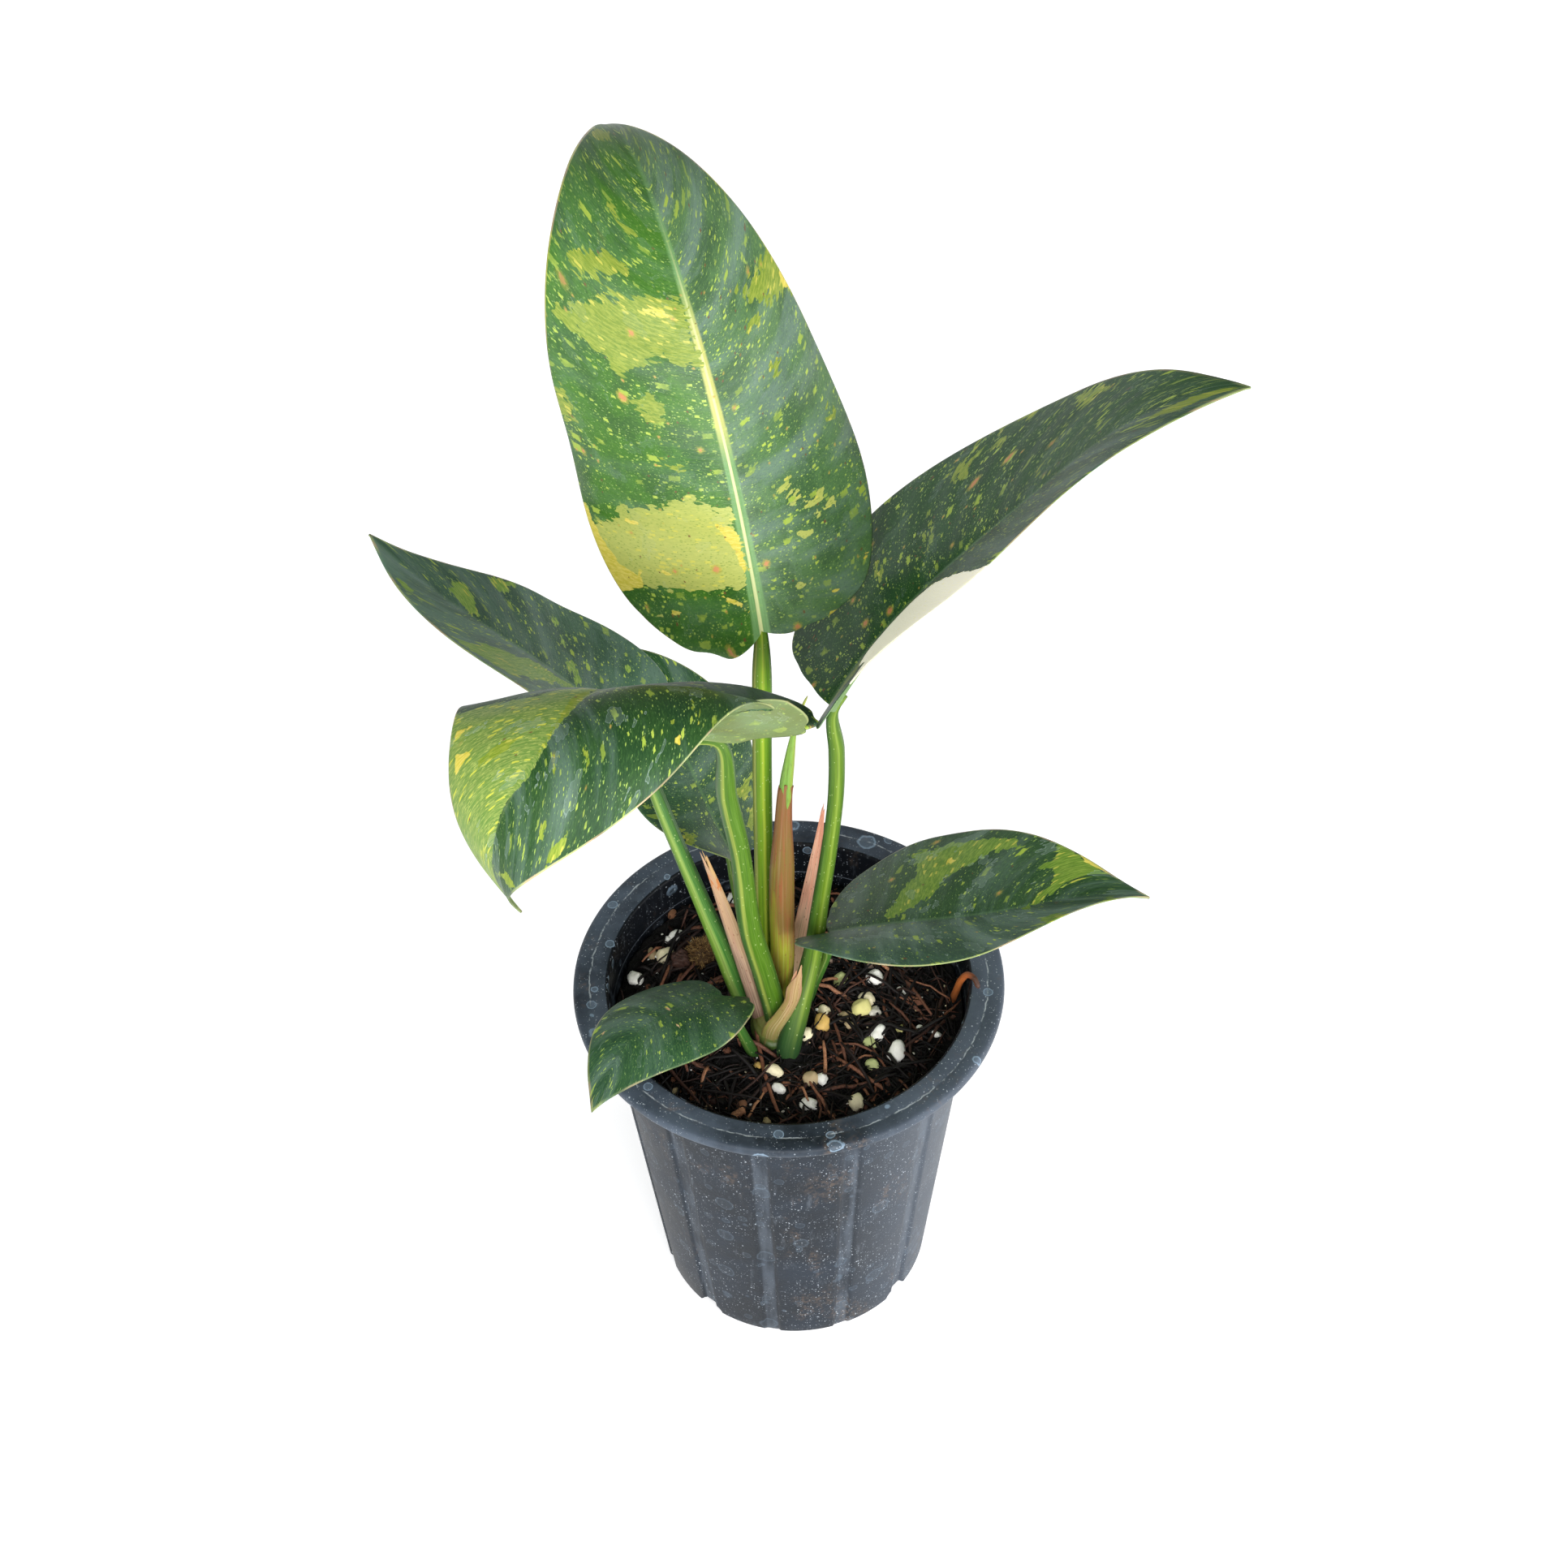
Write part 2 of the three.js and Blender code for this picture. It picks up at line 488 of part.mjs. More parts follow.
function potShell() {
  const profile = potProfile();
  const columns = potColumns();
  const n = columns.length;
  const points = profile.flatMap(({ r, z, fluted }) => columns.map(({ angle, dip }) => {
    const radius = r - (fluted ? dip * FLUTE.depth : 0);
    return new THREE.Vector3(radius * Math.cos(angle), radius * Math.sin(angle), z);
  }));
  const triangles = [];
  for (let i = 0; i + 1 < profile.length; i += 1) {
    for (let k = 0; k < n; k += 1) {
      const a = i * n + k;
      const b = i * n + ((k + 1) % n);
      triangles.push([a, b, b + n], [a, b + n, a + n]);
    }
  }
  points.push(new THREE.Vector3(0, 0, 0), new THREE.Vector3(0, 0, POT.floor));
  const inner = (profile.length - 1) * n;
  for (let k = 0; k < n; k += 1) {
    triangles.push([(k + 1) % n, k, points.length - 2]);
    triangles.push([inner + k, inner + ((k + 1) % n), points.length - 1]);
  }
  return solidOf(geometryOf(points, triangles));
}

// Arched drain notch through the foot of the wall
function drainNotch(angle) {
  const arch = new THREE.Shape();
  const half = NOTCH.width / 2;
  arch.moveTo(-half, -1);
  arch.lineTo(half, -1);
  arch.lineTo(half, NOTCH.height - half * 0.7);
  arch.absellipse(0, NOTCH.height - half * 0.7, half, half * 0.7, 0, Math.PI, false);
  arch.lineTo(-half, -1);
  const geometry = new THREE.ExtrudeGeometry(arch, { depth: 20, bevelEnabled: false, curveSegments: 6 });
  geometry.rotateX(Math.PI / 2);
  geometry.translate(0, -(POT.baseRadius - NOTCH.reach), 0);
  geometry.rotateZ(rad(angle) + Math.PI / 2);
  return solidOf(geometry);
}

function pot() {
  return carve(potShell(), NOTCH.angles.map(drainNotch));
}

// Height of the bare mix at a place, without what lies on it
function mixHeight(x, y) {
  const r = Math.hypot(x, y);
  const fromCrown = Math.hypot(x - CROWN.centre[0], y - CROWN.centre[1]);
  const mound = SOIL.mound * Math.exp(-((fromCrown / SOIL.moundRadius) ** 2));
  const ripple = Math.sin(x * 0.31 + 1.1) * Math.cos(y * 0.27 - 0.6) + 0.6 * Math.sin(x * 0.73 - y * 0.59);
  const drop = SOIL.edgeDrop * (r / POT.mouthRadius) ** 4;
  return SOIL.level + mound + SOIL.relief * ripple - drop;
}

function mixBody() {
  const slope = (POT.mouthRadius - 0.9 - (POT.baseRadius - POT.wall)) / (POT.bandFoot - POT.floor);
  const inside = (z) => POT.baseRadius - POT.wall + slope * (z - POT.floor) - 2.4 * GAP;
  const points = [new THREE.Vector3(0, 0, mixHeight(0, 0))];
  const triangles = [];
  for (let i = 1; i <= SOIL.rings; i += 1) {
    for (let k = 0; k < SOIL.sides; k += 1) {
      const turn = (2 * Math.PI * (k + (i % 2) / 2)) / SOIL.sides;
      const r = (inside(SOIL.level) * i) / SOIL.rings;
      const [x, y] = [r * Math.cos(turn), r * Math.sin(turn)];
      points.push(new THREE.Vector3(x, y, mixHeight(x, y)));
    }
  }
  const ring = (i, k) => 1 + (i - 1) * SOIL.sides + (k % SOIL.sides);
  for (let k = 0; k < SOIL.sides; k += 1) triangles.push([0, ring(1, k), ring(1, k + 1)]);
  for (let i = 1; i < SOIL.rings; i += 1) {
    for (let k = 0; k < SOIL.sides; k += 1) {
      triangles.push([ring(i, k), ring(i + 1, k), ring(i + 1, k + 1)], [ring(i, k), ring(i + 1, k + 1), ring(i, k + 1)]);
    }
  }
  const edge = (SOIL.rings - 1) * SOIL.sides + 1;
  const foot = points.length;
  for (let k = 0; k < SOIL.sides; k += 1) {
    const turn = (2 * Math.PI * (k + (SOIL.rings % 2) / 2)) / SOIL.sides;
    const r = inside(POT.floor);
    points.push(new THREE.Vector3(r * Math.cos(turn), r * Math.sin(turn), POT.floor + GAP));
  }
  points.push(new THREE.Vector3(0, 0, POT.floor + GAP));
  for (let k = 0; k < SOIL.sides; k += 1) {
    const next = (k + 1) % SOIL.sides;
    triangles.push([edge + k, foot + k, foot + next], [edge + k, foot + next, edge + next]);
    triangles.push([foot + next, foot + k, points.length - 1]);
  }
  return solidOf(geometryOf(points, triangles));
}

function perliteGrain([x, y, radius], random) {
  const geometry = new THREE.IcosahedronGeometry(radius, 0);
  geometry.scale(1, 0.75 + 0.3 * random(), 0.8);
  geometry.rotateZ(6.28 * random());
  geometry.rotateX(0.6 * random());
  geometry.translate(x, y, mixHeight(x, y) + radius * 0.25);
  return solidOf(geometry);
}

function barkChip(random) {
  const pick = ([low, high]) => low + (high - low) * random();
  const turn = 2 * Math.PI * random();
  const r = CHIPS.clear + (CHIPS.reach - CHIPS.clear) * Math.sqrt(random());
  const [x, y] = [r * Math.cos(turn), r * Math.sin(turn)];
  const thick = pick(CHIPS.thick);
  const geometry = new THREE.BoxGeometry(pick(CHIPS.length), pick(CHIPS.width), thick * 2);
  geometry.rotateX(0.7 * (random() - 0.5));
  geometry.rotateY(0.8 * (random() - 0.5));
  geometry.rotateZ(2 * Math.PI * random());
  geometry.translate(x, y, mixHeight(x, y) + thick * 0.3);
  return solidOf(geometry);
}

function twig({ path, thick }) {
  const places = path.map(([x, y, lift]) => [x, y, mixHeight(x, y) + lift * 0.5]);
  const first = [places[0][0], places[0][1], places[0][2] - 0.4];
  const radii = [thick * 0.5, thick * 0.55, thick * 0.4];
  return solidOf(stem([first, ...places.slice(1)], radii, places.length, 5));
}

function mossTuft() {
  const geometry = new THREE.IcosahedronGeometry(MOSS.radius, 1);
  geometry.scale(1, 0.8, MOSS.height / MOSS.radius);
  geometry.translate(MOSS.at[0], MOSS.at[1], mixHeight(...MOSS.at));
  return solidOf(geometry);
}

// Potting mix with its perlite, bark chips, twigs and moss grown into one body
function pottingMix(plant) {
  const random = randomSource(CHIPS.seed);
  const litter = [
    ...PERLITE.map((grain) => perliteGrain(grain, random)),
    ...Array.from({ length: CHIPS.count }, () => barkChip(random)),
    ...TWIGS.map(twig),
    mossTuft(),
  ];
  const heap = litter.reduce((sum, piece) => sum.add(piece), mixBody());
  return carve(heap, plant);
}

function crownLump() {
  const { centre, foot, profile, stretch } = CROWN;
  const outline = [[0, 0], ...profile, [0, profile[profile.length - 1][1] + 0.6]];
  const geometry = new THREE.LatheGeometry(outline.map(([r, z]) => new THREE.Vector2(r, z)), 14);
  geometry.rotateX(Math.PI / 2);
  geometry.scale(stretch, 1, 1);
  geometry.translate(centre[0], centre[1], foot);
  return solidOf(geometry);
}

// Colours of the finishes
const FINISH = {
  pot: { color: 0x3c4248, roughness: 0.55 },
  mix: { color: 0x241a14, roughness: 0.95 },
  blade: { color: 0x2f6b34, roughness: 0.4 },
  stalk: { color: 0x6fa02c, roughness: 0.4 },
  sheath: { color: 0xc98a63, roughness: 0.5 },
  spear: { color: 0x9cc23c, roughness: 0.4 },
  crown: { color: 0x8a8f3a, roughness: 0.6 },
  root: { color: 0xb4622a, roughness: 0.6 },
};

const plant = new THREE.Group();

function place(name, solid, finish) {
  const mesh = new THREE.Mesh(geometryFrom(mainBody(solid)), new THREE.MeshStandardMaterial({ metalness: 0, ...finish }));
  mesh.name = name;
  plant.add(mesh);
}

// Blades first, then what joins them, each cut clear of what is already there
const standing = [];
for (const [name, leaf] of Object.entries(LEAVES)) {
  place(`blade_${name}`, solidOf(blade(leaf)), FINISH.blade);
}
for (const name of Object.keys(STALKS)) {
  const solid = carve(solidOf(stalk(name)), [...standing, bladeRoom(LEAVES[name])]);
  place(`stalk_${name}`, solid, FINISH.stalk);
  standing.push(solidOf(stalk(name, GAP)));
}
place('spear', carve(solidOf(stem(SPEAR.path, SPEAR.radii, 10, 7)), standing), FINISH.spear);
standing.push(solidOf(stem(SPEAR.path, SPEAR.radii, 10, 7, GAP)));
for (const [name, spec] of Object.entries(SHEATHS)) {
  place(`sheath_${name}`, carve(solidOf(sheath(spec)), standing), FINISH.sheath);
  standing.push(solidOf(sheath(spec, GAP)));
}
place('crown', carve(crownLump(), standing), FINISH.crown);
const root = stem(ROOT.path, ROOT.radii, 12, 6);
place('rim_root', solidOf(root), FINISH.root);
place('pot', pot(), FINISH.pot);
place('potting_mix', pottingMix([...standing, crownLump(), solidOf(stem(ROOT.path, ROOT.radii, 12, 6, GAP))]), FINISH.mix);

export default plant;
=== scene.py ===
"""Looks of a potted variegated philodendron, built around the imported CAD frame."""

import logging
import math
from dataclasses import dataclass
from enum import Enum
from functools import reduce

import bpy
import numpy as np
from mathutils import Matrix, Vector


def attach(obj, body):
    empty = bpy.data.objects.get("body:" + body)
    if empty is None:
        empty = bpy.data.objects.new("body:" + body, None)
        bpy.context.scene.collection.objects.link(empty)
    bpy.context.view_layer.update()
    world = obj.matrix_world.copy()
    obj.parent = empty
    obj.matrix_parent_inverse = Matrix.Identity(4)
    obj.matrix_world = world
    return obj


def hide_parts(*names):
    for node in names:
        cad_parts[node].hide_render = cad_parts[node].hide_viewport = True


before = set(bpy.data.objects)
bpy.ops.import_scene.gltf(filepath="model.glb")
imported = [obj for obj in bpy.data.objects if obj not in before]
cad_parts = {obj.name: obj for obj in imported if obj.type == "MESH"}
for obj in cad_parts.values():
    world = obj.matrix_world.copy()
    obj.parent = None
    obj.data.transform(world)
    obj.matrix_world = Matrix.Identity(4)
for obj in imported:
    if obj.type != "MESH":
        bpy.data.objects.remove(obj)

LOG = logging.getLogger("scene")
MM = 0.001

Colour = tuple[int, int, int]
Point = tuple[float, float, float]
Row = tuple[float, ...]
Stops = tuple[tuple[float, int, int, int], ...]
Array = np.ndarray
Piece = bpy.types.Object
Material = bpy.types.Material


def linear(colour: Colour) -> Row:
    """Linear colour, with its alpha, of a screen colour given as 0 to 255."""
    shares = [channel / 255 for channel in colour]
    return (*(c / 12.92 if c <= 0.04045 else ((c + 0.055) / 1.055) ** 2.4 for c in shares), 1.0)


# Curves
def smooth(values, u):
    """Value of the even Catmull-Rom curve through the values.

    Args:
        values: numbers or points, evenly spaced along the curve.
        u: share of the way, 0 to 1, of any shape.

    Returns:
        An array of the shape of u, with one more axis where the values are points.
    """
    points = np.asarray(values, float)
    flat = points.ndim == 1
    if flat:
        points = points[:, None]
    last = len(points) - 1
    x = np.clip(np.asarray(u, float), 0, 1) * last
    i = np.minimum(x.astype(int), last - 1)
    f = (x - i)[..., None]
    padded = np.vstack([2 * points[0] - points[1], points, 2 * points[-1] - points[-2]])
    p, q, r, s = (padded[i + k] for k in range(4))
    bend = (2 * p - 5 * q + 4 * r - s) * f**2 + (3 * q - p - 3 * r + s) * f**3
    result = 0.5 * (2 * q + (r - p) * f + bend)
    return result[..., 0] if flat else result


def centripetal(path: list[Point], count: int) -> Array:
    """Evenly spaced points along a centripetal Catmull-Rom curve.

    Args:
        path: points that the curve runs through, in mm.
        count: number of points wanted.

    Returns:
        An array of count points.
    """
    points = np.asarray(path, float)
    padded = np.vstack([2 * points[0] - points[1], points, 2 * points[-1] - points[-2]])
    fine = []
    for i in range(len(points) - 1):
        x0, x1, x2, x3 = padded[i : i + 4]
        steps = [max(np.linalg.norm(b - a), 1e-6) ** 0.5 for a, b in ((x0, x1), (x1, x2), (x2, x3))]
        d0, d1, d2 = steps
        t1 = ((x1 - x0) / d0 - (x2 - x0) / (d0 + d1) + (x2 - x1) / d1) * d1
        t2 = ((x2 - x1) / d1 - (x3 - x1) / (d1 + d2) + (x3 - x2) / d2) * d1
        f = np.linspace(0, 1, 40, endpoint=False)[:, None]
        fine.append(
            x1 * (2 * f**3 - 3 * f**2 + 1) + t1 * (f**3 - 2 * f**2 + f)
            + x2 * (3 * f**2 - 2 * f**3) + t2 * (f**3 - f**2)
        )
    dense = np.vstack([*fine, points[-1:]])
    length = np.concatenate([[0], np.cumsum(np.linalg.norm(np.diff(dense, axis=0), axis=1))])
    at = np.linspace(0, length[-1], count)
    return np.stack([np.interp(at, length, dense[:, k]) for k in range(3)], -1)


def unit(vectors: Array) -> Array:
    """Vectors scaled to length one."""
    return vectors / np.maximum(np.linalg.norm(vectors, axis=-1, keepdims=True), 1e-9)


def path_frames(points: Array, facing: Point) -> tuple[Array, Array, Array]:
    """Directions along a curve.

    Args:
        points: the curve's points.
        facing: direction that the front of each section turns to.

    Returns:
        Unit vectors along the curve, to its front and to its right, one of each per point.
    """
    along = unit(np.gradient(points, axis=0))
    front = np.asarray(facing, float) - (along @ np.asarray(facing, float))[:, None] * along
    front = unit(front)
    return along, front, np.cross(along, front)


# Meshes
def new_object(name: str, points: Array, faces: list, soft: bool = True) -> Piece:
    """Linked object from points in mm.

    Args:
        name: the piece's name.
        points: one row per vertex.
        faces: vertex numbers of each face, facing outward.
        soft: whether the faces shade smoothly.

    Returns:
        The new object.
    """
    mesh = bpy.data.meshes.new(name)
    mesh.from_pydata((np.asarray(points) * MM).tolist(), [], faces)
    mesh.polygons.foreach_set("use_smooth", [soft] * len(mesh.polygons))
    mesh.update()
    piece = bpy.data.objects.new(name, mesh)
    bpy.context.scene.collection.objects.link(piece)
    return piece


def put_attribute(piece: Piece, name: str, values: Array) -> None:
    """Stores a number or a vector per vertex.

    Args:
        piece: the object whose mesh takes it.
        name: the attribute's name.
        values: one number or one row of three per vertex.
    """
    kind = "FLOAT" if values.ndim == 1 else "FLOAT_VECTOR"
    slot = "value" if values.ndim == 1 else "vector"
    attribute = piece.data.attributes.new(name, kind, "POINT")
    attribute.data.foreach_set(slot, values.astype(np.float32).ravel())


def loft(name: str, rings: Array, lengths: Array) -> Piece:
    """Closed tube through rings of points, with fan ends.

    Args:
        name: the piece's name.
        rings: array of rings, points and coordinates, in mm, anticlockwise seen from the far end.
        lengths: distance of each ring along the tube, in mm.

    Returns:
        The object, with a UV map whose u runs round it from 0 to 1 and whose v is the length in mm.
    """
    count, sides = rings.shape[:2]
    points = np.vstack([rings.reshape(-1, 3), rings[0].mean(0), rings[-1].mean(0)])
    faces = []
    wrap = []
    for i in range(count - 1):
        for k in range(sides):
            a, b = i * sides + k, i * sides + (k + 1) % sides
            faces.append((a, b, b + sides, a + sides))
            u0, u1 = k / sides, (k + 1) / sides
            wrap += [(u0, lengths[i]), (u1, lengths[i]), (u1, lengths[i + 1]), (u0, lengths[i + 1])]
    top = (count - 1) * sides
    for k in range(sides):
        after = (k + 1) % sides
        faces.append((after, k, count * sides))
        wrap += [((k + 1) / sides, lengths[0]), (k / sides, lengths[0]), ((k + 0.5) / sides, lengths[0])]
        faces.append((top + k, top + after, count * sides + 1))
        wrap += [(k / sides, lengths[-1]), ((k + 1) / sides, lengths[-1]), ((k + 0.5) / sides, lengths[-1])]
    piece = new_object(name, points, faces)
    layer = piece.data.uv_layers.new(name="wrap")
    layer.data.foreach_set("uv", np.asarray(wrap, np.float32).ravel())
    return piece


def lengths_along(points: Array) -> Array:
    """Distance along a curve at each of its points."""
    return np.concatenate([[0], np.cumsum(np.linalg.norm(np.diff(points, axis=0), axis=1))])


def dress(piece: Piece, material: Material, replaced: list[str]) -> None:
    """Gives a finished piece its material and its place in the frame.

    Args:
        piece: the finished object.
        material: its only material.
        replaced: CAD nodes that the piece stands for.
    """
    piece.data.materials.clear()
    piece.data.materials.append(material)
    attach(piece, "root")
    if replaced:
        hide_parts(*replaced)
    LOG.info("%s: %d faces", piece.name, len(piece.data.polygons))


# Materials
class Nodes:
    """Node tree with a short call for each kind of node."""

    def __init__(self, tree: bpy.types.NodeTree, dimensions: str = "3D") -> None:
        """Takes over a tree, with noises and cells in "2D" or "3D"."""
        self.tree = tree
        self.dimensions = dimensions

    def feed(self, socket, value) -> None:
        """Links an output to a socket, or sets the socket's own value, turning a screen colour linear."""
        if isinstance(value, bpy.types.NodeSocket):
            self.tree.links.new(value, socket)
        else:
            socket.default_value = linear(value) if socket.type == "RGBA" else value

    def node(self, kind: str, feeds: dict, output: int | str = 0, **settings):
        """Makes one node.

        Args:
            kind: its type, without the word ShaderNode.
            feeds: what goes into its inputs, by number or name.
            output: number or name of the output wanted.
            settings: its own settings, such as its operation.

        Returns:
            The output.
        """
        node = self.tree.nodes.new(f"ShaderNode{kind}")
        for name, value in settings.items():
            setattr(node, name, value)
        for key, value in feeds.items():
            self.feed(node.inputs[key], value)
        return node.outputs[output]

    def stretch(self, vector, by: Point):
        """Vector multiplied part by part."""
        return self.node("VectorMath", {0: vector, 1: by}, operation="MULTIPLY")

    def split(self, vector):
        """The three parts of a vector."""
        return tuple(self.node("SeparateXYZ", {0: vector}).node.outputs)

    def join(self, x, y, z=0.0):
        """Vector of three parts."""
        return self.node("CombineXYZ", {0: x, 1: y, 2: z})

    def math(self, operation: str, a, b=0.0):
        """Result of one sum, product, power and so on."""
        return self.node("Math", {0: a, 1: b}, operation=operation)

    def times(self, *values):
        """Product of the values."""
        return reduce(lambda a, b: self.math("MULTIPLY", a, b), values)

    def plus(self, *values):
        """Sum of the values."""
        return reduce(lambda a, b: self.math("ADD", a, b), values)

    def minus(self, a, b):
        """First value less the second."""
        return self.math("SUBTRACT", a, b)

    def fade(self, value, low: float, high: float):
        """Smooth step from 0 at low to 1 at high."""
        ends = {"From Min": min(low, high), "From Max": max(low, high)}
        ends |= {"To Min": float(low > high), "To Max": float(low < high)}
        return self.node("MapRange", {"Value": value, **ends}, interpolation_type="SMOOTHSTEP")

    def near(self, value, middle: float, far: float, close: float):
        """Smooth step from 0 where a value is far from the middle to 1 where it is close."""
        return self.fade(self.math("ABSOLUTE", self.minus(value, middle)), far, close)

    def mix(self, share, first, second):
        """Colour between two colours."""
        return self.node("Mix", {0: share, 6: first, 7: second}, 2, data_type="RGBA")

    def over(self, base, paint, *masks):
        """Base colour with paint over it where all the masks allow."""
        return self.mix(self.times(*masks), base, paint)

    def ramp(self, value, stops: Stops):
        """Colour ramp with stops of a share and a screen colour each."""
        result = self.node("ValToRGB", {0: value})
        elements = result.node.color_ramp.elements
        while len(elements) < len(stops):
            elements.new(0.5)
        for element, (position, *colour) in zip(elements, stops):
            element.position = position
            element.color = linear(colour)
        return result

    def noise(self, vector, scale: float, detail: float = 2.0, rough: float = 0.5):
        """Cloud noise, about 0.5 in the middle."""
        feeds = {"Vector": vector, "Scale": scale, "Detail": detail, "Roughness": rough}
        return self.node("TexNoise", feeds, noise_dimensions=self.dimensions)

    def fibres(self, vector, across: float, along: float, detail: float = 2.0, rough: float = 0.5):
        """Noise drawn out, from its scales across and along."""
        return self.noise(self.stretch(vector, (across, along, 0)), 1.0, detail, rough)

    def cells(self, vector, scale: float, square: bool = False):
        """Distance to the nearest of scattered points, round or square, and that point's chance number."""
        shape = "CHEBYCHEV" if square else "EUCLIDEAN"
        distance = self.node("TexVoronoi", {"Vector": vector, "Scale": scale}, "Distance",
                             voronoi_dimensions=self.dimensions, distance=shape)
        return distance, self.split(distance.node.outputs["Color"])[0]

    def dots(self, vector, scale: float, share: float, size: float):
        """Round dots on some of the scattered points.

        Args:
            vector: coordinates to scatter in.
            scale: points per unit.
            share: share of the points that carry a dot.
            size: radius as a share of the spacing.

        Returns:
            A mask of 0 to 1.
        """
        distance, chance = self.cells(vector, scale)
        return self.times(self.fade(distance, size, size * 0.55), self.math("LESS_THAN", chance, share))

    def flecks(self, vector, by: Point, share: float, size: float, ragged):
        """Ragged, squarish flecks on some of the scattered points.

        Args:
            vector: coordinates to scatter in.
            by: points per unit, across and along.
            share: share of the points that carry a fleck.
            size: half width as a share of the spacing.
            ragged: noise about 0 that roughens their edges.

        Returns:
            A mask of 0 to 1.
        """
        distance, chance = self.cells(self.stretch(vector, by), 1.0, square=True)
        distance = self.plus(distance, self.times(ragged, 0.3))
        smaller = self.times(chance, size / max(share, 0.01) * 0.6)
        inside = self.fade(self.minus(self.plus(distance, smaller), size), 0.06, -0.04)
        return self.times(inside, self.math("LESS_THAN", chance, share))


class Dye(Nodes):
    """Material that is made layer by layer: colour holds what has been laid so far."""

    def __init__(self, name: str, dimensions: str = "3D") -> None:
        """Starts a material that holds only its shader and output.

        Args:
            name: its name.
            dimensions: "2D" or "3D", for its noises and cells.
        """
        self.material = bpy.data.materials.new(name)
        self.material.use_nodes = True
        super().__init__(self.material.node_tree, dimensions)
        self.tree.nodes.clear()
        self.shader = self.tree.nodes.new("ShaderNodeBsdfPrincipled")
        output = self.tree.nodes.new("ShaderNodeOutputMaterial")
        self.tree.links.new(self.shader.outputs[0], output.inputs[0])
        self.colour = None

    def attribute(self, name: str, output: str = "Vector"):
        """Attribute of the mesh, a vector, or a number with the output Fac."""
        return self.node("Attribute", {}, output, attribute_name=name)

    def wrap(self):
        """The piece's own UV as a vector."""
        return self.node("UVMap", {}, uv_map="wrap")

    def place(self):
        """Object coordinates in mm."""
        return self.stretch(self.node("TexCoord", {}, "Object"), (1000, 1000, 1000))

    def lay(self, paint, *masks) -> None:
        """Lays paint over the colour so far, where all the masks allow."""
        self.colour = self.over(self.colour, paint, *masks)

    def bump(self, height, strength: float, distance: float) -> None:
        """Bump from a height of 0 to 1 over a distance in mm."""
        feeds = {"Strength": strength, "Distance": distance * MM, "Height": height}
        self.feed(self.shader.inputs["Normal"], self.node("Bump", feeds))

    def finish(self, **values) -> Material:
        """Feeds the shader's inputs, named with _ for a space, and returns the material."""
        for name, value in {"Base_Color": self.colour, **values}.items():
            self.feed(self.shader.inputs[name.replace("_", " ")], value)
        return self.material


# Leaves
class Mark(Enum):
    """Kinds of variegation, in the order of the marks attribute."""

    LIME = 0
    PALE = 1
    BRIGHT = 2


@dataclass(frozen=True)
class Patch:
    """Variegated sector: its kind and outline, as shares along the leaf and across the half (left minus)."""

    mark: Mark
    outline: tuple[tuple[float, float], ...]


